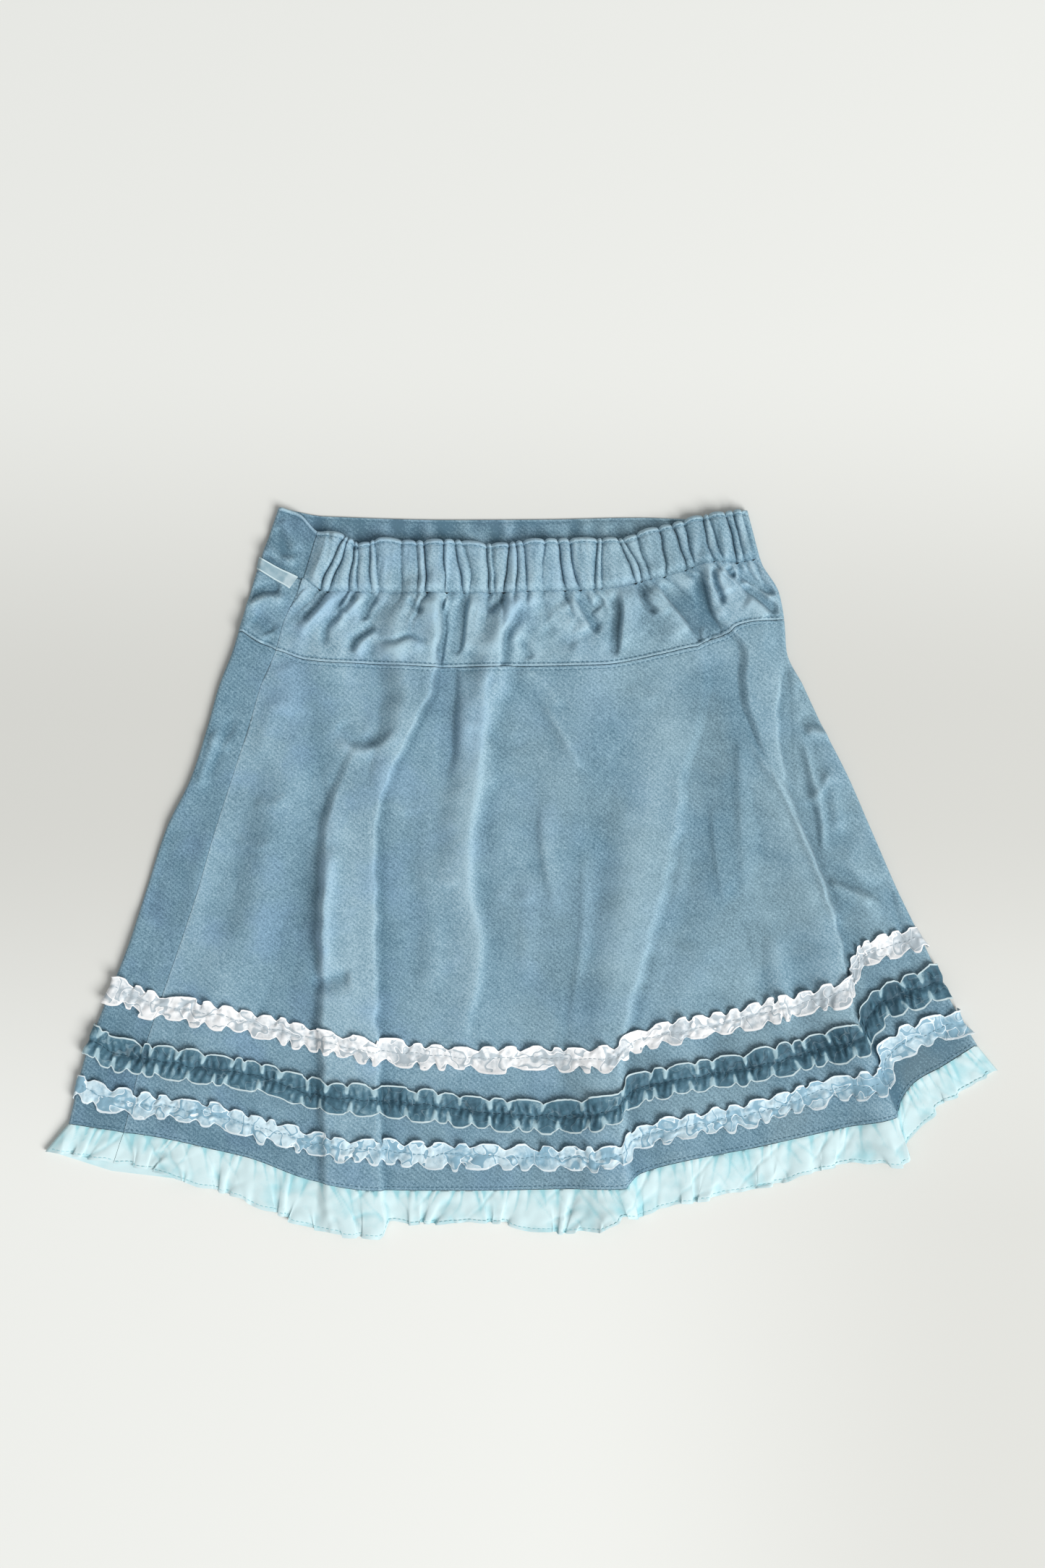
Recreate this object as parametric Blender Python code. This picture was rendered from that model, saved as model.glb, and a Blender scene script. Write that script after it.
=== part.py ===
# A child's flared corduroy skirt, lying flat with its back side up.
# Plan sizes are millimetres: +X to the right hem corner, +Y to the waist, +Z up from the table.
# The front half lies on the table and wraps round the left edge up to the left side seam.
# The back half lies on it and wraps round the right edge to the right side seam, underneath.

import bpy
import numpy as np

MM = 0.001

# Cloth thicknesses and the gaps between pieces
panelWall = 1.2
bandWall = 1.6
ribbonWall = 1.0
frillWall = 1.0
pieceGap = 0.3
edgeRoll = 2.2            # half the height of the soft roll at the left and right edges
topRest = 3.1             # height of the back panel's face where no fold lifts it

# Widths of what is sewn on
whiteWidth = 15.5
velvetWidth = 19.0
blueWidth = 15.5
tabWidth = 6.5
bandRise = 0.3            # how far the plain band's face stands above the yoke's

# How many gathers and waves there are
casingGathers = 36
yokeGathers = 15
whiteWaves = 37
velvetWaves = 30
blueWaves = 33
frillWaves = 34

# The seven lines that run from waist to hem, as x at each height y
cutNames = ("y", "leftEdge", "sideSeam", "foldA", "foldB", "foldC", "foldD", "rightEdge")
cutRows = (
    (202, -136.0, -111.6, -41.2, 8.0, 62.0, 95.2, 123.2),
    (187, -143.6, -114.8, -41.6, 6.8, 66.0, 95.6, 126.4),
    (171, -147.0, -119.0, -42.0, 5.2, 72.0, 96.0, 131.6),
    (155, -151.8, -125.6, -42.8, 2.4, 79.6, 98.8, 141.0),
    (139, -156.6, -133.0, -44.6, -5.4, 88.8, 104.8, 144.0),
    (123, -161.4, -137.6, -47.4, -10.0, 96.8, 117.2, 145.2),
    (103, -169.2, -146.0, -50.4, -17.0, 99.0, 120.0, 154.8),
    (83, -174.8, -151.8, -60.0, -22.6, 94.6, 126.4, 164.2),
    (53, -184.4, -161.6, -74.8, -24.8, 86.0, 138.8, 179.4),
    (25, -198.0, -170.6, -82.0, -30.6, 82.6, 152.4, 191.6),
    (-9, -209.2, -180.4, -81.6, -30.4, 76.0, 166.0, 206.4),
    (-41, -219.6, -191.0, -81.4, -25.2, 67.2, 174.8, 222.0),
    (-73, -232.4, -202.2, -81.2, -28.0, 58.0, 180.8, 237.2),
    (-101, -243.0, -211.2, -80.8, -28.0, 53.2, 192.4, 254.0),
    (-139, -252.4, -220.6, -79.6, -27.2, 54.0, 207.2, 274.0),
    (-175, -263.6, -229.2, -78.0, -26.0, 58.0, 218.0, 292.0),
    (-203, -271.6, -235.6, -76.4, -25.2, 60.0, 226.0, 306.0),
)

# The seams and ribbon lines that run across the upper side, as y at each place along them.
# place counts the seven lines: 0 left edge, 1 side seam, 2 to 5 folds A to D, 6 right edge.
# frill is the width of the hem frill there, not a height.
lineNames = ("place", "waist", "casing", "yoke", "white", "velvet", "blue", "hem", "frill")
lineRows = (
    (0.00, 202.0, 166.8, 133.6, -63.6, -92.4, -118.0, -138.8, 20.0),
    (0.50, 198.4, 164.0, 127.6, -69.2, -99.6, -124.4, -141.2, 18.5),
    (1.00, 188.8, 162.0, 123.2, -73.6, -102.8, -127.6, -143.6, 18.0),
    (1.20, 186.4, 155.4, 118.0, -77.4, -106.2, -130.6, -147.6, 20.0),
    (1.35, 181.6, 155.4, 116.6, -80.6, -109.0, -134.0, -152.5, 22.0),
    (1.50, 184.4, 154.8, 116.0, -84.8, -112.4, -140.0, -157.6, 24.0),
    (1.75, 182.8, 154.8, 114.8, -92.2, -122.5, -149.6, -170.4, 27.0),
    (1.97, 183.4, 154.8, 113.8, -97.6, -125.2, -153.2, -175.2, 27.0),
    (2.06, 183.4, 154.8, 113.6, -98.2, -125.6, -153.6, -175.3, 18.0),
    (2.50, 181.4, 154.8, 114.0, -100.8, -128.4, -156.0, -175.6, 18.5),
    (3.00, 183.6, 155.6, 114.2, -102.4, -131.6, -156.2, -175.6, 17.0),
    (3.50, 184.4, 156.8, 115.2, -102.8, -134.4, -157.6, -174.8, 24.0),
    (3.80, 184.6, 160.4, 121.0, -101.8, -132.4, -157.0, -174.2, 24.0),
    (3.97, 188.0, 163.0, 125.0, -100.6, -129.0, -155.0, -173.6, 16.0),
    (4.05, 189.0, 163.4, 126.0, -93.4, -120.0, -146.8, -166.0, 24.0),
    (4.50, 192.0, 166.0, 129.2, -80.8, -107.6, -132.0, -150.8, 23.0),
    (4.80, 194.6, 168.4, 130.6, -71.5, -97.5, -118.9, -140.8, 20.0),
    (4.98, 196.4, 170.0, 131.6, -65.2, -90.8, -115.2, -135.2, 26.0),
    (5.12, 197.0, 171.0, 133.0, -53.0, -80.0, -102.5, -124.0, 24.0),
    (5.30, 198.0, 172.0, 136.4, -44.5, -72.4, -95.5, -115.2, 21.6),
    (5.60, 199.0, 171.4, 139.0, -40.4, -66.6, -88.5, -107.0, 18.0),
    (6.00, 200.4, 173.6, 140.0, -35.6, -60.0, -82.0, -95.6, 18.0),
)

# The same seams where they run across the underside
underRows = (
    # place, waist, casing, yoke, hem, frill
    (0.0, 202.0, 166.8, 133.6, -138.8, 20.0),
    (1.0, 197.6, 165.0, 127.0, -150.0, 16.0),
    (2.0, 195.6, 164.0, 121.0, -167.0, 16.0),
    (3.0, 195.8, 164.0, 120.0, -169.0, 15.0),
    (4.0, 196.8, 166.0, 124.0, -158.0, 15.0),
    (5.0, 196.0, 170.0, 131.0, -126.0, 15.0),
    (6.0, 200.4, 173.6, 140.0, -95.6, 18.0),
)
underNames = ("place", "waist", "casing", "yoke", "hem", "frill")
underSeamPlace = 5.4      # where the right side seam lies, on the underside

# The folds that stand up from the panel. line is the line that the crest follows, shift moves it
# in x, flat is the width of a level top left of the crest, left and right are how far the sides
# run down, and the last seven columns are the height at each of foldLevels.
foldLevels = (165, 135, 105, 60, 25, -20, -75, -130, -190)
foldRows = (
    # line, shift, flat, left, right, heights
    ("foldA", -1.0, 2.0, 24.0, 3.0, (3.5, 8.0, 9.5, 6.0, 0.5, 0.0, 0.0, 0.0, 0.0)),
    ("foldA", -1.0, 24.0, 9.0, 2.6, (0.0, 0.0, 0.0, 1.5, 5.5, 7.5, 6.5, 5.5, 5.5)),
    ("foldB", 0.0, 6.0, 14.0, 12.0, (3.0, 4.5, 4.5, 4.0, 3.2, 2.2, 0.6, 0.0, 0.0)),
    ("foldC", -1.0, 14.0, 10.0, 3.0, (0.0, 0.0, 0.8, 2.6, 3.6, 5.0, 6.2, 6.5, 6.5)),
    ("foldD", 15.0, 11.0, 3.0, 7.0, (3.0, 4.0, 5.0, 4.0, 1.0, 0.0, 0.0, 0.0, 0.0)),
    ("foldD", -1.0, 4.0, 24.0, 3.0, (0.0, 0.0, 0.0, 1.6, 4.0, 5.0, 5.6, 6.0, 6.0)),
    ("foldB", 52.0, 2.0, 22.0, 26.0, (0.0, 1.0, 1.4, 1.8, 1.8, 1.6, 1.2, 0.8, 0.5)),
    ("foldC", 34.0, 2.0, 18.0, 20.0, (0.0, 0.0, 0.0, 1.2, 1.8, 1.8, 1.5, 1.2, 1.2)),
    ("sideSeam", 34.0, 2.0, 20.0, 24.0, (1.0, 1.2, 1.4, 1.6, 1.6, 1.4, 1.2, 1.2, 1.2)),
)

# How the columns of the mesh are spread between two of the seven lines: how many there are,
# and where the first one after the line stands, close behind a fold's steep side
columnRows = (
    # columns, first
    (4, 0.25),
    (11, 0.09),
    (7, 0.06),
    (10, 0.10),
    (12, 0.03),
    (6, 0.08),
)


def smoothLine(xs, ys, x):
    # A smooth line through the points (xs, ys) that never swings past them: cubic pieces whose
    # slopes are the harmonic mean of the two neighbours', or zero at a turn.
    xs = np.asarray(xs, float)
    ys = np.asarray(ys, float)
    step = np.diff(xs)
    slope = np.diff(ys) / step
    inner = np.zeros(len(xs))
    same = slope[:-1] * slope[1:] > 0
    w1 = 2 * step[1:] + step[:-1]
    w2 = step[1:] + 2 * step[:-1]
    safe = np.where(same, slope[:-1], 1.0), np.where(same, slope[1:], 1.0)
    inner[1:-1] = np.where(same, (w1 + w2) / (w1 / safe[0] + w2 / safe[1]), 0.0)
    inner[0], inner[-1] = slope[0], slope[-1]
    k = np.clip(np.searchsorted(xs, x, side="right") - 1, 0, len(xs) - 2)
    t = (x - xs[k]) / step[k]
    h00 = (1 + 2 * t) * (1 - t) ** 2
    h10 = t * (1 - t) ** 2
    h01 = t * t * (3 - 2 * t)
    h11 = t * t * (t - 1)
    return h00 * ys[k] + h10 * step[k] * inner[k] + h01 * ys[k + 1] + h11 * step[k] * inner[k + 1]


def cutLine(name, y):
    # x of one of the seven lines at the heights y
    rows = np.array(cutRows)[::-1]
    return smoothLine(rows[:, 0], rows[:, cutNames.index(name)], np.clip(y, -203, 202))


def xAt(place, y):
    # x of a place at the heights y, straight across from one of the seven lines to the next
    lines = np.stack([cutLine(name, y) for name in cutNames[1:]])
    k = np.clip(np.floor(place).astype(int), 0, 5)
    part = place - k
    left = np.take_along_axis(lines, k[None], 0)[0]
    right = np.take_along_axis(lines, k[None] + 1, 0)[0]
    roll = edgeRoll * (np.clip(1 - place, 0, 1) - np.clip(place - 5, 0, 1))
    return left + part * (right - left) + roll


def upper(name, place):
    rows = np.array(lineRows)
    return smoothLine(rows[:, 0], rows[:, lineNames.index(name)], place)


def under(name, place):
    rows = np.array(underRows)
    return smoothLine(rows[:, 0], rows[:, underNames.index(name)], place)


def ease(t):
    t = np.clip(t, 0, 1)
    return t * t * (3 - 2 * t)


def foldHeight(x, y):
    # The highest of the folds at each point, each one a level top with an eased slope on
    # either side of it, over a rest height that rises a little towards the two edges
    tallest = np.zeros(np.broadcast(x, y).shape)
    for line, shift, flat, left, right, heights in foldRows:
        crest = cutLine(line, y) + shift
        height = smoothLine(foldLevels[::-1], heights[::-1], np.clip(y, -190, 165))
        fromCrest = x - crest
        rise = ease(1 + (fromCrest + flat) / left) * ease(1 - fromCrest / right)
        tallest = np.maximum(tallest, height * rise)
    edge = np.minimum(x - cutLine("leftEdge", y), cutLine("rightEdge", y) - x)
    lift = (2 * edgeRoll - topRest) * ease(1 - edge / 14)
    return topRest + np.maximum(tallest, 0) * ease((edge - 2) / 12) + lift


def placesBetween(start, stop):
    # The mesh columns from one place to another, with one on each of the seven lines between
    places = []
    for k, (count, first) in enumerate(columnRows):
        places.append(k)
        places.extend(k + first + (1 - first) * np.arange(count - 1) / (count - 1))
    places = np.array(sorted(set(np.round(places + [6], 5))))
    inside = places[(places > start + 0.02) & (places < stop - 0.02)]
    return np.concatenate(([start], inside, [stop]))


def gatherWave(turns, power):
    # Rounded ridges with narrow valleys between them, 0 in a valley and 1 on a ridge
    return np.abs(np.cos(np.pi * turns)) ** power


def makeObject(name, points, faces, colour, roughness):
    mesh = bpy.data.meshes.new(name)
    flat = np.asarray(points, float)
    triangles = np.asarray(faces, int)
    a, b, c = (flat[triangles[:, i]] for i in range(3))
    if np.einsum("ij,ij->i", a, np.cross(b, c)).sum() < 0:
        triangles = triangles[:, ::-1]
    mesh.from_pydata((flat * MM).tolist(), [], triangles.tolist())
    mesh.update()
    mesh.shade_smooth()
    mesh.set_sharp_from_angle(angle=np.radians(50))
    material = bpy.data.materials.new(name)
    material.use_nodes = True
    shader = material.node_tree.nodes["Principled BSDF"]
    shader.inputs["Base Color"].default_value = (*colour, 1)
    shader.inputs["Roughness"].default_value = roughness
    shader.inputs["Metallic"].default_value = 0.0
    mesh.materials.append(material)
    piece = bpy.data.objects.new(name, mesh)
    bpy.context.scene.collection.objects.link(piece)
    return piece


def stitchBorder(outerLine, innerLine, kept):
    # Triangles between a border of the outer grid and the coarser border of the inner grid.
    # kept gives which of the outer points each inner point stands under.
    faces = []
    for n in range(len(kept) - 1):
        a, b = kept[n], kept[n + 1]
        middle = (a + b) // 2 if b - a > 1 else a
        for k in range(a, b):
            anchor = innerLine[n] if k < middle else innerLine[n + 1]
            faces.append((outerLine[k + 1], outerLine[k], anchor))
        faces.append((outerLine[middle], innerLine[n], innerLine[n + 1]))
    return faces


def gridFaces(index, flip):
    a, b = index[:-1, :-1], index[1:, :-1]
    c, d = index[1:, 1:], index[:-1, 1:]
    one = np.stack([a, b, c], -1).reshape(-1, 3)
    two = np.stack([a, c, d], -1).reshape(-1, 3)
    both = np.concatenate([one, two])
    return both[:, ::-1] if flip else both


def makeWall(name, outer, inner, keptAcross, keptDown, colour, roughness):
    # A closed cloth wall: an outer grid of points, an inner grid that stands under some of
    # them, and four borders that join the two. Grids are (across, down, xyz).
    across, down = outer.shape[:2]
    outerIndex = np.arange(across * down).reshape(across, down)
    innerIndex = across * down + np.arange(len(keptAcross) * len(keptDown))
    innerIndex = innerIndex.reshape(len(keptAcross), len(keptDown))
    faces = [gridFaces(outerIndex, False), gridFaces(innerIndex, True)]
    borders = (
        (outerIndex[:, 0], innerIndex[:, 0], keptAcross, False),
        (outerIndex[:, -1], innerIndex[:, -1], keptAcross, True),
        (outerIndex[0], innerIndex[0], keptDown, True),
        (outerIndex[-1], innerIndex[-1], keptDown, False),
    )
    for outerLine, innerLine, kept, flip in borders:
        strip = np.array(stitchBorder(outerLine, innerLine, list(kept)))
        faces.append(strip[:, ::-1] if flip else strip)
    points = np.concatenate([outer.reshape(-1, 3), inner.reshape(-1, 3)])
    return makeObject(name, points, np.concatenate(faces), colour, roughness)


def lowestAround(z, keptAcross, keptDown):
    # The lowest outer point in the cells round each kept point, so that the straight faces
    # of the coarser inner grid stay under every outer point
    low = np.empty((len(keptAcross), len(keptDown)))
    for i, a in enumerate(keptAcross):
        a0 = keptAcross[max(i - 1, 0)]
        a1 = keptAcross[min(i + 1, len(keptAcross) - 1)] + 1
        for j, d in enumerate(keptDown):
            d0 = keptDown[max(j - 1, 0)]
            d1 = keptDown[min(j + 1, len(keptDown) - 1)] + 1
            low[i, j] = z[a0:a1, d0:d1].min()
    return low


def everyOther(count, step):
    kept = list(range(0, count - 1, step)) + [count - 1]
    if len(kept) > 2 and kept[-1] - kept[-2] < step / 2:
        kept.pop(-2)
    return kept


def makeHalf(name, side, topPlan, underPlan, wall, step, colour, roughness, relief=0.0):
    # One half of the skirt at one height: a run on the upper side, a roll round the left or
    # right edge, and a run flat on the table. Each plan is an (across, down, xy) grid that
    # starts at the rolled edge, and relief is added to the upper run's outer points only.
    x, y = topPlan[..., 0], topPlan[..., 1]
    floorAbove = wall + pieceGap
    plain = np.maximum(foldHeight(x, y), floorAbove + wall)
    outerTop = np.dstack([x, y, plain + relief])
    keptAcross = everyOther(x.shape[0], step[0])
    keptDown = everyOther(x.shape[1], step[1])
    low = lowestAround(plain, keptAcross, keptDown)
    innerTop = outerTop[np.ix_(keptAcross, keptDown)].copy()
    innerTop[..., 2] = np.maximum(low - wall, floorAbove)

    angles = np.radians((50, 0, -50))
    toward = 1 if side == "left" else -1
    edgePoint = outerTop[0]
    half = edgePoint[:, 2] / 2
    outerRoll = np.stack([np.stack([
        edgePoint[:, 0] - toward * edgeRoll * np.cos(a),
        edgePoint[:, 1],
        half * (1 + np.sin(a))], -1) for a in angles])
    innerEdge = innerTop[0]
    innerMiddle = (innerEdge[:, 2] + wall) / 2
    innerHalf = (innerEdge[:, 2] - wall) / 2
    innerRoll = np.stack([np.stack([
        innerEdge[:, 0] - toward * (edgeRoll - wall) * np.cos(a),
        innerEdge[:, 1],
        innerMiddle + innerHalf * np.sin(a)], -1) for a in angles])

    underX, underY = underPlan[..., 0], underPlan[..., 1]
    outerUnder = np.dstack([underX, underY, np.zeros_like(underX)])
    innerUnder = outerUnder[:, keptDown].copy()
    innerUnder[..., 2] = wall

    outer = np.concatenate([outerTop[::-1], outerRoll, outerUnder])
    inner = np.concatenate([innerTop[::-1], innerRoll, innerUnder])
    last = x.shape[0] - 1
    kept = [last - k for k in keptAcross[::-1]]
    kept = kept + list(range(last + 1, outer.shape[0]))
    makeWall(name, outer, inner, kept, keptDown, colour, roughness)
    return outer, last


def rowsBetween(highLine, lowLine, shares):
    # Heights from one line down to another, a seam gap inside both
    high = highLine - pieceGap / 2
    low = lowLine + pieceGap / 2
    return high[:, None] + (low - high)[:, None] * np.asarray(shares)[None]


def planOf(places, heights):
    grid = np.broadcast_to(places[:, None], heights.shape)
    return np.dstack([xAt(grid, heights), heights])


def seamPlaces(side, where):
    # Places of the upper run and the under run of one half, from its rolled edge outwards,
    # each ending half a gap short of its side seam
    gap = 0.004
    if side == "left":
        top = placesBetween(0, 1 - gap)
        below = np.array([0, 1, 2, 3, 4, 5, where - gap])
    else:
        top = placesBetween(1 + gap, 6)[::-1]
        below = np.array([6, 5.7, where + gap])
    return top, below


def makePanelPair(names, high, low, middle, wall, step, colour, roughness, relief=None):
    # The front and back pieces between two seams. middle gives the rows between them as
    # heights on the upper side, or a list of shares of the way down.
    made = {}
    for side, name in zip(("left", "right"), names):
        top, below = seamPlaces(side, underSeamPlace)
        highTop, lowTop = upper(high, top), upper(low, top)
        if callable(middle):
            heights = middle(top)
            shares = (heights[0, 0] - heights[0]) / (heights[0, 0] - heights[0, -1])
        else:
            shares = np.asarray(middle)
            heights = rowsBetween(highTop, lowTop, shares)
        underHeights = rowsBetween(under(high, below), under(low, below), shares)
        extra = relief(top, shares) if relief and side == "right" else 0.0
        outer, last = makeHalf(
            name, side, planOf(top, heights), planOf(below, underHeights),
            wall, step, colour, roughness, extra)
        made[side] = (outer, last)
    return made


def panelHeights(places):
    # Rows of the panel: even ones down to the ribbons, then three under each ribbon
    yoke = upper("yoke", places) - pieceGap / 2
    white, velvet, blue = (upper(n, places) for n in ("white", "velvet", "blue"))
    hem = upper("hem", places) + pieceGap / 2
    firstRibbon = white + whiteWidth / 2
    rows = [yoke + (firstRibbon - yoke) * k / panelRows for k in range(panelRows)]
    for centre, width in ((white, whiteWidth), (velvet, velvetWidth), (blue, blueWidth)):
        rows += [centre + width / 2, centre, centre - width / 2]
    rows.append(hem)
    return np.stack(rows, -1)


def makeRibbon(name, panels, firstRow, waves, swing, colour, roughness):
    # A gathered ribbon, made from the panel's own points moved out, stitched down along its
    # middle row, its two edges rising in waves and reaching out a little on each wave
    back, backLast = panels["right"]
    front, frontLast = panels["left"]
    rows = slice(firstRow, firstRow + 3)
    frontRun = front[:frontLast + 3, rows][::-1]
    backRun = back[:backLast + 3, rows]
    base = np.concatenate([frontRun, backRun])
    frontMiddle = np.array([1, 0])
    across = np.zeros(len(base))
    across[:2] = (-1, -0.64)
    across[-2:] = (0.64, 1)
    up = np.sqrt(1 - across ** 2)
    lift = np.dstack([across[:, None], 0 * across[:, None], up[:, None]])
    inner = base + pieceGap * lift

    finer = 4
    columns = (len(base) - 1) * finer + 1
    at = np.arange(columns) / finer
    k = np.minimum(at.astype(int), len(base) - 2)
    part = (at - k)[:, None, None]
    skin = inner[k] * (1 - part) + inner[k + 1] * part
    out = lift[k] * (1 - part) + lift[k + 1] * part
    run = np.concatenate([[0], np.cumsum(np.linalg.norm(np.diff(skin[:, 1, :2], axis=0), axis=1))])
    share = run / run[-1]
    uneven = 0.35 * np.sin(13.0 * share + swing) + 0.2 * np.sin(37.0 * share + 2 * swing)
    upperWave = gatherWave(waves * share + uneven, 0.8)
    lowerWave = gatherWave(waves * share + uneven * 0.7 + 0.35, 0.8)
    rise = np.stack([0.2 + 1.8 * upperWave, 0 * share, 0.2 + 1.8 * lowerWave], -1)
    fade = np.clip(np.minimum(share, 1 - share) / 0.012, 0, 1)[:, None]
    outer = skin + (ribbonWall + (rise * fade)[..., None]) * out
    outer[:, 0, 1] += 0.9 * upperWave
    outer[:, 2, 1] -= 0.9 * lowerWave
    kept = list(range(0, columns, finer))
    makeWall(name, outer, inner, kept, [0, 1, 2], colour, roughness)


def onSeam(coarse, points, places):
    # Points at the given places on the straight stretches of a seam whose points are known
    # at the coarse places, so that a finer piece meets a coarser one all along it
    order = np.argsort(coarse)
    return np.stack([np.interp(places, coarse[order], points[order, k]) for k in (0, 1)], -1)


def frillPlan(start, depth, shares):
    # Points of a frill: out from the hem, straight down in the middle and turning sideways
    # towards the two corners
    lean = np.radians(42) * np.sign(start[:, 0]) * (np.abs(start[:, 0]) / 252) ** 6
    reach = depth[:, None] * np.asarray(shares)[None]
    px = start[:, :1] + reach * np.sin(lean)[:, None]
    py = start[:, 1:] - reach * np.cos(lean)[:, None]
    return np.dstack([px, py])


def finerPlaces(places, times):
    at = np.arange((len(places) - 1) * times + 1) / times
    k = np.minimum(at.astype(int), len(places) - 2)
    return places[k] + (at - k) * (places[k + 1] - places[k])


def makeFrill(names, colour, roughness):
    shares = (0.0, 0.45, 1.0)
    for side, name in zip(("left", "right"), names):
        coarse, below = seamPlaces(side, underSeamPlace)
        top = finerPlaces(coarse, 4)
        hem = (upper("hem", coarse) - pieceGap / 2)[:, None]
        start = onSeam(coarse, planOf(coarse, hem)[:, 0], top)
        topPlan = frillPlan(start, upper("frill", top), shares)
        underHem = (under("hem", below) - pieceGap / 2)[:, None]
        underPlan = frillPlan(planOf(below, underHem)[:, 0], under("frill", below), shares)
        turns = frillWaves * top / 6
        wave = gatherWave(turns + 0.25 * np.sin(top * 5.3), 0.9)
        relief = 1.9 * wave[:, None] * np.array(shares)[None] ** 0.8
        relief = relief * np.clip(np.abs(top - top[0]) / 0.15, 0, 1)[:, None]
        makeHalf(name, side, topPlan, underPlan, frillWall, (4, 1), colour, roughness, relief)


def casingRelief(places, shares):
    # Elastic gathers: rounded ridges across the band, pinched a little at both seams
    seam, right = xAt(np.array([1.0]), np.array([171.0])), xAt(np.array([6.0]), np.array([171.0]))
    along = (xAt(places, np.full(len(places), 171.0)) - seam) / (right - seam)
    turns = casingGathers * along + 0.3 * np.sin(9 * along + 0.4) + 0.15 * np.sin(31 * along)
    ridge = gatherWave(turns, 0.7)
    puff = 0.55 + 0.45 * np.sin(np.pi * np.clip(np.asarray(shares), 0.05, 0.95))
    return 0.5 + (0.3 + 1.7 * ridge)[:, None] * puff[None]


def yokeRelief(places, shares):
    # Soft gathers that start at the casing and fade out above the yoke's lower seam
    turns = yokeGathers * (places - 1) / 5 + 0.22 * np.sin(places * 4.1)
    ridge = gatherWave(turns, 0.9)
    fade = np.clip(1 - np.asarray(shares), 0, 1) ** 1.1
    return 1.5 * ridge[:, None] * fade[None]


def makeCasing(names, colour, roughness):
    # The waistband: plain in front, gathered on its elastic behind
    shares = np.array((0, 0.12, 0.5, 0.88, 1.0))
    for side, name in zip(("left", "right"), names):
        coarse, below = seamPlaces(side, underSeamPlace)
        top, extra, step = coarse, bandRise, (1, 2)
        if side == "right":
            top = finerPlaces(coarse, 4)
            extra, step = casingRelief(top, shares), (4, 2)
        seam = (upper("casing", coarse) + pieceGap / 2)[:, None]
        low = onSeam(coarse, planOf(coarse, seam)[:, 0], top)
        high = planOf(top, upper("waist", top)[:, None])[:, 0]
        topPlan = high[:, None] + (low - high)[:, None] * shares[None, :, None]
        underHeights = rowsBetween(under("waist", below) + pieceGap / 2,
                                   under("casing", below) + pieceGap, shares)
        underPlan = planOf(below, underHeights)
        makeHalf(name, side, topPlan, underPlan, bandWall, step, colour, roughness, extra)


def makeTab(colour, roughness):
    # The short end of narrow velvet ribbon caught in the band's seam at the left edge
    places = np.array([0.02, 0.25, 0.5, 0.75, 0.93])
    middle = upper("casing", places) + 3.4 - 6.0 * places
    rows = np.stack([middle + tabWidth / 2, middle, middle - tabWidth / 2], -1)
    plan = planOf(places, rows)
    bandFace = 2 * bandWall + pieceGap + bandRise
    height = np.maximum(foldHeight(plan[..., 0], plan[..., 1]) + bandRise, bandFace) + pieceGap
    inner = np.dstack([plan, height])
    outer = inner + np.array([0, 0, ribbonWall])
    makeWall("waist_ribbon", outer, inner, list(range(5)), [0, 1, 2], colour, roughness)


for old in list(bpy.data.objects):
    bpy.data.objects.remove(old, do_unlink=True)

denim = (0.24, 0.37, 0.45)
denimLight = (0.28, 0.41, 0.49)
panelRows = 14
ribbonRow = panelRows

makeCasing(("front_waistband", "back_waistband"), denimLight, 0.95)
makePanelPair(("front_yoke", "back_yoke"), "casing", "yoke", (0, 0.2, 0.45, 0.75, 1),
              panelWall, (1, 2), denimLight, 0.95, yokeRelief)
panels = makePanelPair(("front_panel", "back_panel"), "yoke", "hem", panelHeights,
                       panelWall, (1, 2), denim, 0.95)
makeRibbon("white_ruffle", panels, ribbonRow, whiteWaves, 0.0, (0.74, 0.77, 0.80), 0.45)
makeRibbon("velvet_ruffle", panels, ribbonRow + 3, velvetWaves, 1.1, (0.10, 0.22, 0.29), 0.7)
makeRibbon("blue_ruffle", panels, ribbonRow + 6, blueWaves, 2.3, (0.48, 0.64, 0.72), 0.5)
makeFrill(("front_hem_frill", "back_hem_frill"), (0.62, 0.79, 0.82), 0.85)
makeTab((0.40, 0.56, 0.62), 0.7)

# The finished skirt is moved so that the middle of its box is the origin
corners = np.array([v.co for piece in bpy.data.objects for v in piece.data.vertices])
middle = (corners.min(0) + corners.max(0)) / 2
for piece in bpy.data.objects:
    for vertex in piece.data.vertices:
        vertex.co.x -= middle[0]
        vertex.co.y -= middle[1]
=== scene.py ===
# A child's flared corduroy skirt laid flat, back side up, with three gathered ribbons and a
# gathered cotton frill. Drawn in millimetres and moved to the frame's metres at the end.

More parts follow.
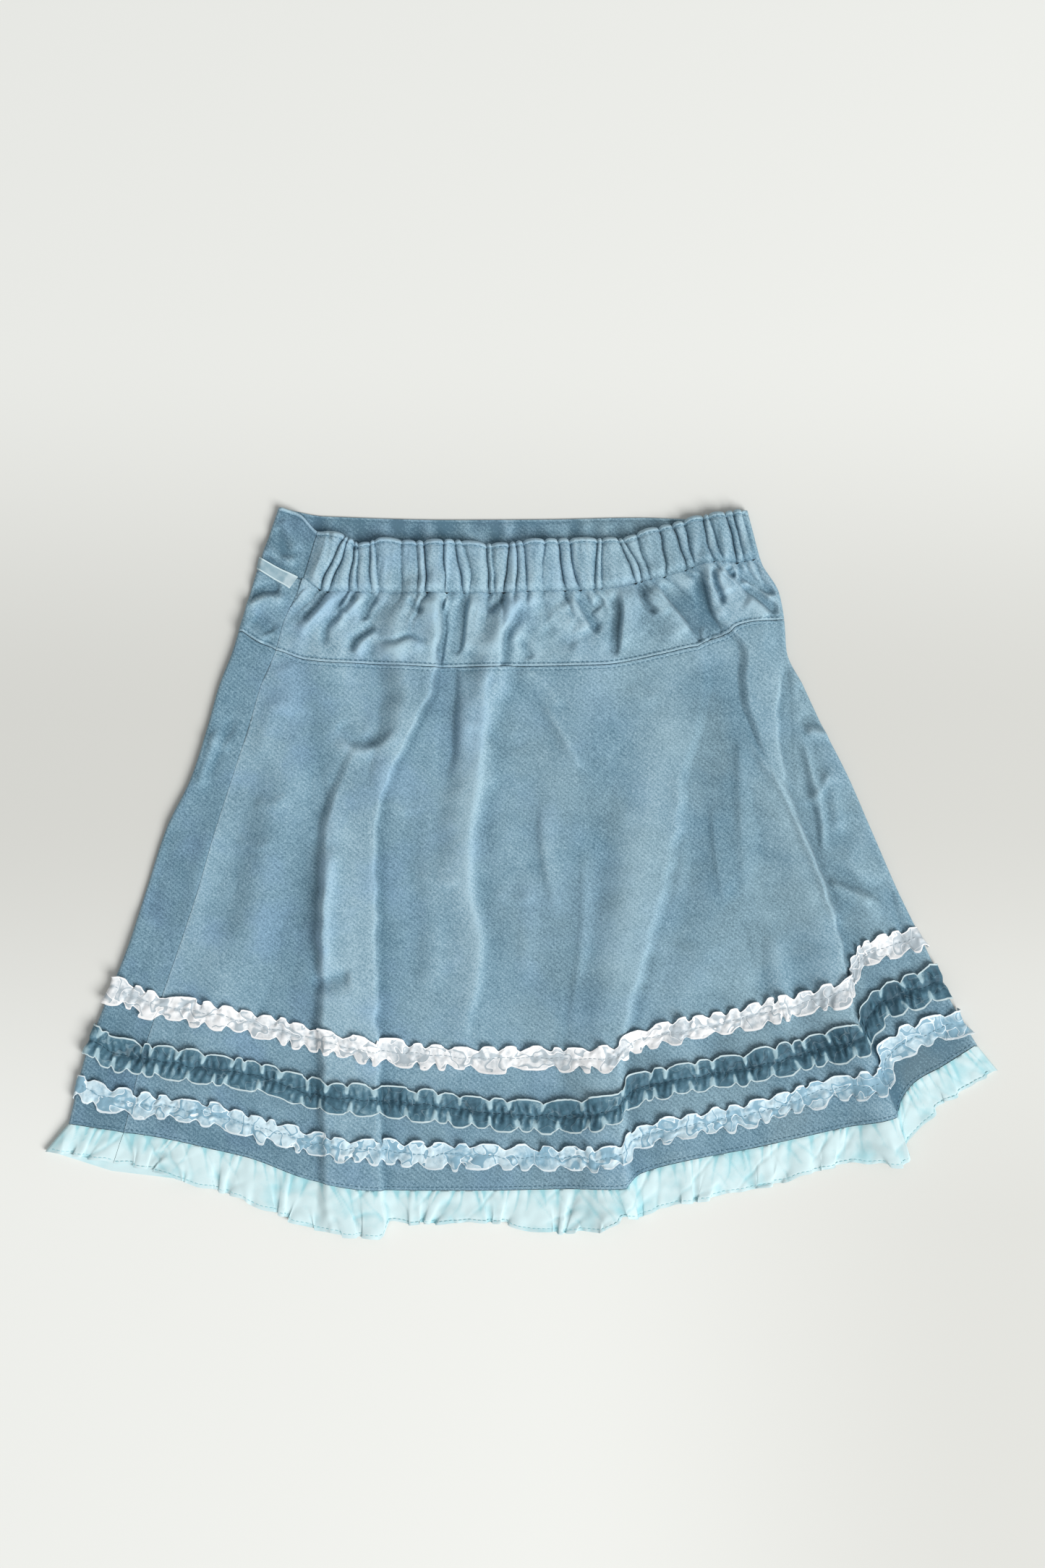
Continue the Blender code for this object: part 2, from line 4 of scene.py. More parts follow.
import bpy
import numpy as np
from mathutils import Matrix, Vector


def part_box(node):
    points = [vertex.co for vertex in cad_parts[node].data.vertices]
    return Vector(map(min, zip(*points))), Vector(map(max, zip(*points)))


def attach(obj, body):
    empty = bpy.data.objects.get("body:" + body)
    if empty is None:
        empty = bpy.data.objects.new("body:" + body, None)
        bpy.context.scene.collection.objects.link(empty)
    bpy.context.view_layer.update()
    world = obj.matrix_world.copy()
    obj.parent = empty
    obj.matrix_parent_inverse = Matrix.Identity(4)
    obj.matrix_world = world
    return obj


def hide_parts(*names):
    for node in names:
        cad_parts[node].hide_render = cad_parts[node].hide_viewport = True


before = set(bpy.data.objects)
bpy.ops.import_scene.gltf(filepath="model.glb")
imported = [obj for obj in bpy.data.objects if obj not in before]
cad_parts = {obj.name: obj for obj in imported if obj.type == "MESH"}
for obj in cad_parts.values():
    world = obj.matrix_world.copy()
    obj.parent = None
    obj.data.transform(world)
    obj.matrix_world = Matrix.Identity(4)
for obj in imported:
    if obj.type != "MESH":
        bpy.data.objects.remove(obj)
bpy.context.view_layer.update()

print("frame loaded:", len(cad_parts), "nodes")

# The lines that run from waist to hem: x at each height y, as in the cut of the solids
cutNames = ("y", "leftEdge", "sideSeam", "foldA", "foldB", "foldC", "foldD", "rightEdge")
cutRows = (
    (202, -136, -111.6, -41.2, 8, 62, 95.2, 123.2),
    (187, -143.6, -114.8, -41.6, 6.8, 66, 95.6, 126.4),
    (171, -147, -119, -42, 5.2, 72, 96, 131.6),
    (155, -151.8, -125.6, -42.8, 2.4, 79.6, 98.8, 141),
    (139, -156.6, -133, -44.6, -5.4, 88.8, 104.8, 144),
    (123, -161.4, -137.6, -47.4, -10, 96.8, 117.2, 145.2),
    (103, -169.2, -146, -50.4, -17, 99, 120, 154.8),
    (83, -174.8, -151.8, -60, -22.6, 94.6, 126.4, 164.2),
    (53, -184.4, -161.6, -74.8, -24.8, 86, 138.8, 179.4),
    (25, -198, -170.6, -82, -30.6, 82.6, 152.4, 191.6),
    (-9, -209.2, -180.4, -81.6, -30.4, 76, 166, 206.4),
    (-41, -219.6, -191, -81.4, -25.2, 67.2, 174.8, 222),
    (-73, -232.4, -202.2, -81.2, -28, 58, 180.8, 237.2),
    (-101, -243, -211.2, -80.8, -28, 53.2, 192.4, 254),
    (-139, -252.4, -220.6, -79.6, -27.2, 54, 207.2, 274),
    (-175, -263.6, -229.2, -78, -26, 58, 218, 292),
    (-203, -271.6, -235.6, -76.4, -25.2, 60, 226, 306),
)

# The lines that run across: y at each place, 0 left edge, 1 side seam, 2 to 5 folds A to D,
# 6 right edge. frill is the width of the hem frill there.
lineNames = ("place", "waist", "casing", "yoke", "white", "velvet", "blue", "hem", "frill")
lineRows = (
    (0.00, 202, 166.8, 133.6, -63.6, -92.4, -118, -138.8, 20),
    (0.50, 198.4, 164, 127.6, -69.2, -99.6, -124.4, -141.2, 18.5),
    (1.00, 188.8, 162, 123.2, -73.6, -102.8, -127.6, -143.6, 18),
    (1.20, 186.4, 155.4, 118, -77.4, -106.2, -130.6, -147.6, 20),
    (1.35, 181.6, 155.4, 116.6, -80.6, -109, -134, -152.5, 22),
    (1.50, 184.4, 154.8, 116, -84.8, -112.4, -140, -157.6, 24),
    (1.75, 182.8, 154.8, 114.8, -92.2, -122.5, -149.6, -170.4, 27),
    (1.97, 183.4, 154.8, 113.8, -97.6, -125.2, -153.2, -175.2, 27),
    (2.06, 183.4, 154.8, 113.6, -98.2, -125.6, -153.6, -175.3, 18),
    (2.50, 181.4, 154.8, 114, -100.8, -128.4, -156, -175.6, 18.5),
    (3.00, 183.6, 155.6, 114.2, -102.4, -131.6, -156.2, -175.6, 17),
    (3.50, 184.4, 156.8, 115.2, -102.8, -134.4, -157.6, -174.8, 24),
    (3.80, 184.6, 160.4, 121, -101.8, -132.4, -157, -174.2, 24),
    (3.97, 188, 163, 125, -100.6, -129, -155, -173.6, 16),
    (4.05, 189, 163.4, 126, -93.4, -120, -146.8, -166, 24),
    (4.50, 192, 166, 129.2, -80.8, -107.6, -132, -150.8, 23),
    (4.80, 194.6, 168.4, 130.6, -71.5, -97.5, -118.9, -140.8, 20),
    (4.98, 196.4, 170, 131.6, -65.2, -90.8, -115.2, -135.2, 26),
    (5.12, 197, 171, 133, -53, -80, -102.5, -124, 24),
    (5.30, 198, 172, 136.4, -44.5, -72.4, -95.5, -115.2, 21.6),
    (5.60, 199, 171.4, 139, -40.4, -66.6, -88.5, -107, 18),
    (6.00, 200.4, 173.6, 140, -35.6, -60, -82, -95.6, 18),
)

underNames = ("place", "waist", "casing", "yoke", "hem", "frill")
underRows = (
    (0, 202, 166.8, 133.6, -138.8, 20),
    (1, 197.6, 165, 127, -150, 16),
    (2, 195.6, 164, 121, -167, 16),
    (3, 195.8, 164, 120, -169, 15),
    (4, 196.8, 166, 124, -158, 15),
    (5, 196, 170, 131, -126, 15),
    (6, 200.4, 173.6, 140, -95.6, 18),
)

# The large folds: the line each follows, how far it is moved in x, the width of its level top,
# how far it runs down to the left and right, and its height at each of foldLevels. The move
# and the width may be given at each level as well.
foldLevels = (165, 135, 105, 60, 25, -20, -75, -130, -190)
foldRows = (
    ("foldA", -1, (6, 24, 13, 2, 2, 2, 2, 2, 2), 17, 3, (3.5, 6.5, 7.5, 5, 0.5, 0, 0, 0, 0)),
    ("foldA", -1, (24, 24, 24, 23, 25, 27, 28, 28, 29), 6.5, 2.6, (0, 0, 0, 1.8, 4.5, 5.5, 5, 4.2, 3)),
    ("foldB", 0, 6, 14, 12, (3, 4.5, 4.5, 4, 3.2, 2.2, 0.6, 0, 0)),
    ("foldC", -1, 8, 30, 7, (0, 0.6, 1.6, 2.6, 3.4, 4.4, 5.4, 6, 6)),
    ("foldD", (15, 33, 21, 6, 0.5, 0, 0, 0, 0), (9, 25, 17, 5, 1, 1, 1, 1, 1), 6, 3.5,
     (2.6, 3.4, 3.8, 3.2, 0.8, 0, 0, 0, 0)),
    ("foldD", -1, 4, 24, 3, (0, 0, 0, 1.6, 4, 5, 5.6, 6, 6)),
    ("foldB", 52, 2, 22, 26, (0, 1, 1.4, 1.8, 1.8, 1.6, 1.2, 0.8, 0.5)),
    ("foldC", 34, 2, 18, 20, (0, 0, 0, 1.2, 1.8, 1.8, 1.5, 1.2, 1.2)),
    ("sideSeam", 34, 2, 20, 24, (1, 1.2, 1.4, 1.6, 1.6, 1.4, 1.2, 1.2, 1.2)),
)

cloth = {
    "gap": 0.3,            # between pieces at a seam
    "edgeRoll": 2.2,       # half the height of the rolled side edges
    "topRest": 3.5,        # height of the upper face where nothing lifts it
    "panelWall": 1.2,
    "bandWall": 1.6,
    "frillWall": 1.0,
    "underSeam": 5.4,      # place of the right side seam, underneath
}

# Creases laid over the folds. Each is a ridge, or a trough where its height is below zero, along a smooth
# line: height, reach to the west or south, reach to the east or north, and the points (x, y) that it passes.
# It fades out over its first and last fifth.
creaseRows = (
    # dimple under the yoke and the ridge below it
    (-2.4, 1.8, 4, ((-103, 83), (-98, 76.5), (-93, 73), (-87, 72), (-80, 74))),
    (1.5, 5, 2, ((-104, 76), (-98, 70), (-90, 67), (-80, 70), (-70, 80))),
    (1.6, 9, 7, ((-134, 118), (-130, 102), (-132, 84))),
    (-1.2, 9, 8, ((-120, 100), (-114, 64), (-116, 24))),
    (1, 4, 6, ((-112, 62), (-107, 44), (-104, 14))),
    # bulge in the left side of fold A, with a notch below it
    (3.4, 5, 4.5, ((-106, 18), (-108, -4), (-110.5, -24), (-110.5, -40), (-106, -54))),
    (-2.4, 6, 3.4, ((-118, -64), (-110, -60), (-103, -57), (-95, -56))),
    # valley between folds A and B under the yoke
    (-1.8, 5, 4, ((-41, 122), (-40, 108), (-40, 94), (-41, 74), (-44, 50))),
    (1.4, 3, 8, ((-34, 118), (-35, 100), (-35, 82), (-35, 60))),
    # fold B: a thin bright crest that wanders down the middle
    (1.5, 5, 2.4, ((-13, 120), (-22, 104), (-22, 87), (-24, 67), (-27, 44))),
    (1.5, 7, 2.4, ((-23, 72), (-26, 40), (-31, 17), (-31, -16), (-24, -29), (-25, -55), (-32, -83),
                   (-35, -104))),
    (-0.8, 3, 8, ((-20, 60), (-24, 24), (-25, -8), (-19, -30), (-20, -60))),
    (0.7, 3, 3, ((-40, 90), (-33, 82), (-22, 80))),
    # soft diagonals right of fold B
    (1.1, 3.4, 1.5, ((-4, 116), (6, 109), (16, 99), (22, 90))),
    (1.3, 3.4, 1.5, ((6, 92), (12, 90), (20, 79), (27, 66), (34, 55))),
    (-0.9, 6, 2.4, ((-8, 108), (4, 98), (12, 86), (24, 68))),
    (0.8, 1.6, 9, ((10, 44), (10, 20), (14, -8), (20, -26))),
    (-0.6, 7, 2, ((6, 36), (7, 14), (11, -10))),
    (0.8, 5, 7, ((2, 8), (2, -30), (0, -64))),
    (-0.8, 6, 6, ((-60, 60), (-62, 20), (-60, -30), (-62, -80))),
    (0.8, 9, 6, ((-44, 20), (-48, -20), (-50, -70))),
    (0.9, 2, 6, ((33, 20), (33, -20), (29, -60), (24, -100))),
    (-0.8, 7, 7, ((44, 44), (46, 8), (42, -30))),
    # right of fold C
    (0.8, 3, 6, ((119, 84), (119, 66), (119, 44), (121, 14), (123, -20))),
    (-0.4, 4, 2.6, ((116, 80), (116, 60), (117, 20))),
    (0.7, 4, 4, ((84, 60), (88, 20), (84, -20))),
    (0.8, 2, 6, ((104, 40), (106, 10), (112, -20))),
    (0.8, 7, 5, ((136, -30), (142, -60), (146, -90))),
    (-0.9, 6, 6, ((126, -20), (130, -56), (132, -90))),
    # the pleat's lower line, and the creases right of it
    (1.6, 3, 2, ((120, 80), (135, 57), (148, 38), (154, 20), (162, 3), (169, -17), (178, -36))),
    (-1.2, 2, 3.6, ((140, 56), (150, 37), (157, 20), (165, 0), (173, -22))),
    (-1.4, 2, 3, ((144, 120), (144, 100), (144, 82), (144, 70), (150, 46))),
    (1.5, 3.4, 2.6, ((150, 82), (155, 68), (158, 56), (163, 40), (165, 20), (166, 8))),
    (-1, 3.4, 2.6, ((152, 76), (156, 54), (158, 40))),
    (-0.9, 2.6, 2.4, ((157, 40), (162, 26), (160, 12))),
    (0.8, 2, 2.4, ((168, 56), (164, 46), (160, 42), (156, 43))),
    (-1.5, 2.2, 5, ((160, 8), (168, 1), (176, -3), (196, -12), (208, -15))),
    (1.2, 4, 2.4, ((164, -5), (176, -9), (194, -18))),
    (1.6, 2, 4, ((154, 78), (162, 77), (170, 76), (176, 77))),
    (-1.3, 3, 2, ((152, 86), (160, 84), (168, 80))),
    (-1.2, 4, 4, ((152, 106), (158, 96), (166, 84))),
    (1.2, 4, 5, ((166, 60), (172, 40), (174, 20))),
    (1, 5, 7, ((176, 20), (186, -4), (196, -30))),
    (-1, 6, 4, ((196, 0), (206, -30), (214, -60))),
    # left part of the panel, by the side seam
    (1.2, 6, 8, ((-134, 100), (-140, 86), (-146, 60))),
    (-0.9, 9, 9, ((-150, 40), (-160, 0), (-166, -40))),
    (1, 10, 9, ((-134, 60), (-144, 0), (-152, -50))),
    (-1, 8, 8, ((-126, -10), (-132, -50), (-140, -90))),
    (0.7, 5, 6, ((-170, 30), (-180, 0), (-186, -40))),
    (-0.8, 5, 5, ((-192, 30), (-202, 0), (-210, -30))),
    (1.4, 3, 4, ((-168, 82), (-174, 64), (-182, 44))),
    (-1.2, 3, 3, ((-160, 88), (-168, 70), (-176, 50))),
    (1.2, 2, 4, ((-176, 76), (-170, 70), (-162, 69))),
    # across the panel, very soft
    (0.7, 3, 4, ((-128, 44), (-140, 38), (-150, 40))),
    (0.6, 3, 4, ((-60, 0), (-44, -6), (-34, -2))),
    (0.6, 4, 4, ((58, 104), (66, 96), (76, 98))),
    (-0.7, 4, 4, ((-24, 78), (-8, 70), (4, 74))),
    (0.6, 2, 4, ((-78, 40), (-66, 34), (-54, 36))),
    (0.6, 2, 4, ((-18, -10), (-4, -16), (8, -12))),
    (0.5, 2, 3, ((-160, 20), (-148, 14), (-136, 18))),
)

yokeCreaseRows = (
    # from the left: ridges that slant down and left from the casing, each beside its valley
    (1.8, 3, 2.6, ((-103.6, 156), (-109, 149), (-115, 143), (-121, 136), (-126, 131))),
    (-2, 1.6, 1.6, ((-110, 156), (-114, 150), (-119, 144), (-124, 140))),
    (-1.8, 1.6, 2, ((-99, 155.5), (-102, 149), (-103, 143), (-109.5, 137), (-111, 131), (-109.5, 124))),
    (1.6, 2.6, 2.4, ((-88, 154.5), (-92.5, 149.5), (-99.5, 145), (-102, 140), (-103.5, 134))),
    (-1.8, 1.5, 1.5, ((-92.4, 154), (-97, 148.5), (-101, 143.5))),
    (-2.4, 1.8, 1.8, ((-81.6, 154), (-86.5, 148), (-88.5, 142.5), (-87, 139))),
    (-1.8, 2, 1.6, ((-82, 137.5), (-88, 133), (-94.5, 128), (-96.5, 121))),
    (1.5, 2, 2.6, ((-81, 134.5), (-88, 128.5), (-94, 120))),
    (-1.4, 1.4, 1.4, ((-60, 152), (-62.5, 149.5), (-59.5, 146.5), (-55, 144))),
    (-1.2, 2, 1.2, ((-82, 129), (-73, 128), (-64, 131), (-56, 128), (-50, 127))),
    (1, 4, 1.2, ((-80, 126), (-72, 125.5), (-64, 128.5), (-54, 125))),
    # the two sides of fold A and of fold B
    (-3, 1.6, 1.3, ((-45.7, 155), (-45.2, 146), (-45.2, 133), (-46.7, 122), (-48.3, 112))),
    (2, 6, 2, ((-49.5, 155.5), (-48, 146), (-47.5, 135), (-48, 122))),
    (-2.6, 3, 1.3, ((-30.8, 155), (-33.4, 146), (-35, 135), (-36.5, 125), (-39, 119))),
    (1.8, 1.8, 7, ((-28, 154), (-30.5, 144), (-31.5, 132), (-33, 120))),
    (-2.6, 1.2, 3.4, ((1, 151), (-5, 139), (-10.3, 131), (-11, 119), (-14, 108))),
    (1.8, 6, 1.6, ((-3, 153), (-8, 142), (-13, 132), (-14, 120))),
    (-1.8, 2, 1.4, ((-9, 153), (-15, 148), (-20.5, 143.5))),
    # middle
    (-1.2, 2, 2, ((-3.7, 131), (0.5, 125), (3.7, 117.5))),
    (-0.9, 3, 2, ((10, 137), (16, 133), (20.5, 129), (30, 126))),
    (0.8, 3, 3, ((12, 142), (20, 139), (28, 136))),
    (-2.4, 1.3, 2.6, ((28, 154.5), (32, 148), (36.3, 139.5), (39.4, 134.3), (42, 132))),
    (1.8, 6, 1.8, ((24, 153), (28, 146), (33, 138), (36, 132))),
    (-2.2, 1.4, 1.4, ((32, 155.3), (35.5, 148), (38.5, 146.5), (41, 149), (42.6, 154))),
    (-2.8, 2.4, 1.2, ((49.5, 156), (52, 144), (51, 133), (50.4, 123), (51, 118))),
    (2, 1.6, 7, ((53.5, 158), (55.5, 146), (54.5, 134), (54, 122))),
    (-2.2, 1.4, 1.6, ((63, 161), (65.2, 153), (68, 148), (74, 143))),
    (1.4, 2, 3, ((67, 157), (72, 150), (80, 142))),
    (-2.6, 1.3, 4.5, ((75, 161), (80.4, 152), (86.7, 144.8), (92, 138.5), (95.5, 131))),
    (2, 6, 1.8, ((71, 160), (77, 151), (83, 144), (89, 136), (92, 129))),
    (-1.2, 1.2, 1.2, ((95, 135), (96.5, 130), (97.5, 127))),
    (-1.2, 1.2, 1.2, ((101, 135), (103, 130), (104, 127))),
    # the pleat at the right and what lies beyond it
    (-2.8, 3, 1.2, ((95.7, 168), (99.3, 156), (101.4, 145.8), (106.7, 135.3), (110.9, 130))),
    (1.8, 1.6, 4, ((99, 168), (102, 157), (104, 147), (109, 137))),
    (-2.6, 1.2, 1.4, ((104, 170), (105, 161.6), (108.8, 152), (109.3, 147))),
    (1.6, 1.4, 4, ((107, 169), (108, 162), (111.5, 153))),
    (-2.2, 1.4, 1.4, ((112, 169.5), (113.5, 165.5), (117.2, 164.5))),
    (-2.4, 1.6, 1.8, ((117, 168), (123.5, 162.6), (131, 157.4), (140, 154.5))),
    (2, 1.8, 1.8, ((119, 162), (130, 156), (138, 149))),
    (-2.4, 1.8, 1.6, ((119.3, 159.5), (128, 154.5), (136, 148), (140, 142.5))),
    (1.4, 4, 2, ((122, 152), (130, 147), (136, 141))),
)

# Painted light and shade where the folds turn towards or away from the light, and where the nap lies brighter
# or darker, in the same way
napAndShadeRows = (
    (-0.16, 26, 6, ((-122, 40), (-120, -20), (-119, -70), (-118, -110))),
    (0.15, 10, 12, ((-96, 60), (-99, 0), (-98, -90), (-96, -190))),
    (0.10, 14, 7, ((-104, 118), (-94, 92), (-82, 60))),
    (-0.10, 3, 22, ((-76, 50), (-78, 0), (-78, -90))),
    (0.12, 9, 4, ((-12, 118), (-24, 70), (-31, 17), (-28, -40), (-34, -90))),
    (0.12, 13, 8, ((86, 100), (66, 20), (47, -70), (40, -110))),
    (-0.12, 10, 30, ((112, 110), (100, 40), (90, -30), (80, -80))),
    (0.10, 10, 8, ((128, 118), (134, 90), (142, 50), (160, 0))),
    (-0.16, 3, 16, ((150, 44), (168, 0), (188, -50), (202, -90))),
    (-0.14, 12, 12, ((-134, 60), (-150, 0), (-160, -60))),
    (0.08, 12, 12, ((-150, 110), (-160, 80), (-168, 50))),
    (-0.06, 20, 20, ((0, 0), (4, -40), (0, -80))),
    (-0.20, 18, 18, ((40, 112), (34, 40), (26, -40), (20, -104))),
    (-0.15, 18, 18, ((116, 120), (110, 60), (112, 0), (120, -60))),
    (-0.20, 12, 10, ((-106, 114), (-112, 84), (-118, 50))),
    (-0.3, 13, 11, ((186, -120), (208, -109), (230, -97), (250, -86))),
    (-0.18, 9, 9, ((-214, -134), (-170, -146), (-120, -157))),
    (-0.05, 7, 7, ((-205, -136), (-160, -150), (-109, -160), (-30, -166), (40, -166))),
    (-0.05, 7, 7, ((62, -160), (119, -146), (182, -132))),
    (-0.22, 14, 14, ((42, -50), (42, -80), (42, -118))),
    (-0.18, 13, 13, ((106, -60), (108, -84), (112, -112))),
    (-0.22, 14, 14, ((-54, 114), (-54, 104), (-56, 84))),
    (-0.22, 14, 14, ((96, 118), (100, 104), (100, 84))),
)

# The same painted light and shade, and nap, on the yoke
yokeNapAndShadeRows = (
    (0.14, 6, 7, ((-90, 123), (-70, 125), (-50, 124), (-40, 123))),
    (0.10, 9, 9, ((64, 136), (74, 128), (84, 122))),
    (-0.38, 9, 9, ((90, 162), (98, 146), (104, 130))),
    (0.14, 5, 5, ((108, 158), (116, 150), (126, 142))),
    (-0.12, 5, 6, ((-118, 150), (-126, 140), (-132, 128))),
    (-0.12, 6, 6, ((20, 146), (40, 138), (46, 124))),
    (0.10, 8, 6, ((-30, 140), (-24, 130), (-26, 118))),
    (-0.10, 5, 5, ((-4, 148), (4, 136), (8, 122))),
    (-0.26, 20, 20, ((46, 150), (64, 138), (86, 128))),
    (-0.22, 12, 12, ((84, 156), (94, 142), (100, 126))),
    (-0.16, 10, 10, ((-66, 140), (-56, 130), (-50, 118))),
)

underCreaseRows = (
    # soft folds on the underside, pressed against the table
    (0.6, 5, 3, ((-130, 120), (-138, 60), (-142, 0), (-150, -60))),
    (0.5, 3, 6, ((-86, 116), (-92, 70), (-90, 10), (-96, -80))),
    (0.6, 3, 4, ((-52, 118), (-50, 84), (-58, 40))),
    (0.6, 6, 3, ((-20, 116), (-16, 50), (-20, -30), (-14, -110))),
    (0.5, 3, 3, ((14, 112), (26, 84), (30, 60))),
    (0.6, 4, 7, ((52, 116), (62, 50), (58, -20), (66, -120))),
    (0.6, 3, 4, ((92, 120), (104, 70), (120, 10), (132, -50))),
    (0.5, 3, 3, ((132, 110), (140, 70), (160, 30))),
    (0.6, 5, 4, ((150, 40), (172, -10), (196, -60))),
)

wrapCreaseRows = (
    # the front's strip between the left edge and the side seam
    (-1.8, 1.6, 2.4, ((-147, 174.5), (-140, 172), (-133, 167), (-122, 165.5))),
    (1.6, 3, 4, ((-147, 178), (-141, 177), (-136, 174), (-124, 170))),
    (-2, 1.6, 2.4, ((-155, 150), (-148, 155), (-141, 157), (-134, 157))),
    (1.8, 3.4, 2, ((-154, 145), (-147, 150), (-139, 152), (-130, 150))),
    (-1.2, 3, 3, ((-150, 142), (-144, 138), (-140, 132))),
    (1, 4, 3, ((-158, 138), (-150, 133), (-142, 127))),
    (1.2, 5, 4, ((-136, 196), (-130, 188), (-126, 176))),
    (-1, 4, 5, ((-140, 190), (-134, 182), (-132, 172))),
)

# The valleys between the ribs of the gathered band, read from the left: x at the head, the
# middle and the foot, and how deep it is
ribRows = (
    (-113.5, -118, -122.5, 0), (-98.5, -106.7, -113, 0.9), (-96.8, -102.1, -108.8, 0.9),
    (-93.6, -95.2, -97.5, 0.8), (-91.6, -92, -92.4, 0.5), (-84.9, -85.4, -84.6, 0.6),
    (-82.7, -81.6, -80.6, 0.5), (-67.7, -68.2, -67.7, 0.35), (-59.5, -58.5, -59, 0.5),
    (-55.4, -54.4, -54.4, 1), (-44.2, -44.2, -43.1, 1), (-38.5, -36.3, -33.4, 0.8),
    (-34.9, -30.4, -30.4, 0.5), (-21.1, -20.1, -19.3, 0.8), (-18.4, -17.2, -16, 0.4),
    (-8.3, -9.3, -11.3, 1), (-5, -3.5, -5, 0.7), (-1, 0.8, 1.2, 0.8), (11, 10, 10, 0.6),
    (18.4, 20.5, 22.6, 1), (24.7, 26.8, 30.5, 1), (40.3, 39.7, 38.6, 0.8),
    (42.8, 42.6, 42.6, 0.7), (51.7, 57.3, 61.4, 1), (53.9, 61.3, 64.9, 0.9), (61.7, 65.5, 69.9, 0.7),
    (74.1, 77.3, 77.9, 0.9), (81.5, 86.5, 89.3, 1), (87.8, 90.9, 93.6, 0.8), (98.8, 100.6, 104.6, 0.8),
    (101.4, 105.4, 109.8, 0.6), (110.9, 115.1, 117.2, 1), (115.2, 118.6, 121.4, 0.7),
    (120, 123.8, 126.9, 0.9), (131, 134, 137, 0),
)


def smoothLine(xs, ys, x):
    # A smooth line through points that never swings past them: cubic pieces whose slopes are
    # the harmonic mean of the neighbours', or zero at a turn
    xs = np.asarray(xs, float)
    ys = np.asarray(ys, float)
    step = np.diff(xs)
    slope = np.diff(ys) / step
    same = slope[:-1] * slope[1:] > 0
    before = np.where(same, slope[:-1], 1.0)
    after = np.where(same, slope[1:], 1.0)
    w1 = 2 * step[1:] + step[:-1]
    w2 = step[1:] + 2 * step[:-1]
    between = np.where(same, (w1 + w2) / (w1 / before + w2 / after), 0.0)
    slopes = np.concatenate([slope[:1], between, slope[-1:]])
    k = np.clip(np.searchsorted(xs, x, side="right") - 1, 0, len(xs) - 2)
    t = (x - xs[k]) / step[k]
    near = (1 + 2 * t) * (1 - t) ** 2 * ys[k] + t * (1 - t) ** 2 * step[k] * slopes[k]
    return near + t * t * (3 - 2 * t) * ys[k + 1] + t * t * (t - 1) * step[k] * slopes[k + 1]


def tableLine(names, rows, name, at):
    # The smooth line through one column of a table, over its first column
    columns = np.array(rows)
    return smoothLine(columns[:, 0], columns[:, names.index(name)], at)


def cutLine(name, y):
    # x of one of the seven lines at the heights y
    return tableLine(cutNames, cutRows[::-1], name, np.clip(y, cutRows[-1][0], cutRows[0][0]))


def upper(name, place):
    # y of a line across the upper side at each place
    return tableLine(lineNames, lineRows, name, place)


def under(name, place):
    # y of a line across the underside at each place
    return tableLine(underNames, underRows, name, place)


def xAt(place, y):
    # x of a place at the heights y: the share of the way between its two lines, drawn in by
    # the roll at the two edges
    lines = np.stack([cutLine(name, y) for name in cutNames[1:]])
    k = np.clip(np.floor(place).astype(int), 0, 5)
    left = np.take_along_axis(lines, k[None], 0)[0]
    right = np.take_along_axis(lines, k[None] + 1, 0)[0]
    roll = cloth["edgeRoll"] * (np.clip(1 - place, 0, 1) - np.clip(place - 5, 0, 1))
    return left + (place - k) * (right - left) + roll


def ease(t):
    # 0 below zero, 1 above one and t squared times (3 - 2t) between
    t = np.clip(t, 0, 1)
    return t * t * (3 - 2 * t)


def bell(distance, width):
    # exp(-(distance / width) squared)
    return np.exp(-(distance / width) ** 2)


def ridges(distance, rows):
    # A sum of low ridges, height * bell(distance - place, width), from rows of the three
    return sum(height * bell(distance - place, width) for height, place, width in rows)


def runAlong(line):
    # The length of a line of points up to each of them
    return np.concatenate([[0], np.cumsum(np.linalg.norm(np.diff(line, axis=0), axis=1))])


def softNoise(x, y, size, seed):
    # Smooth unevenness between -1 and 1: a sum of five sine waves in seeded directions, each
    # sin(2 pi * distance / (size * scale) + phase)
    rng = np.random.default_rng(seed)
    total = np.zeros(np.broadcast(x, y).shape)
    for n in range(5):
        turn, phase, scale = rng.uniform(0, np.pi), rng.uniform(0, 6.3), rng.uniform(0.7, 1.5)
        wave = 2 * np.pi / (size * scale)
        total += np.sin(wave * (x * np.cos(turn) + y * np.sin(turn)) + phase)
    return total / 3.2


def noiseAlong(run, size, seed):
    # The same along one line
    return softNoise(run, 0 * run, size, seed)


def uneven(x, y, *rows):
    # A sum of smooth noises, from rows of height, size in mm and seed
    return sum(height * softNoise(x, y, size, seed) for height, size, seed in rows)


crease = {"points": 14, "cutOff": 2.6, "fade": 0.22}   # cutOff in reaches, fade in shares of its length


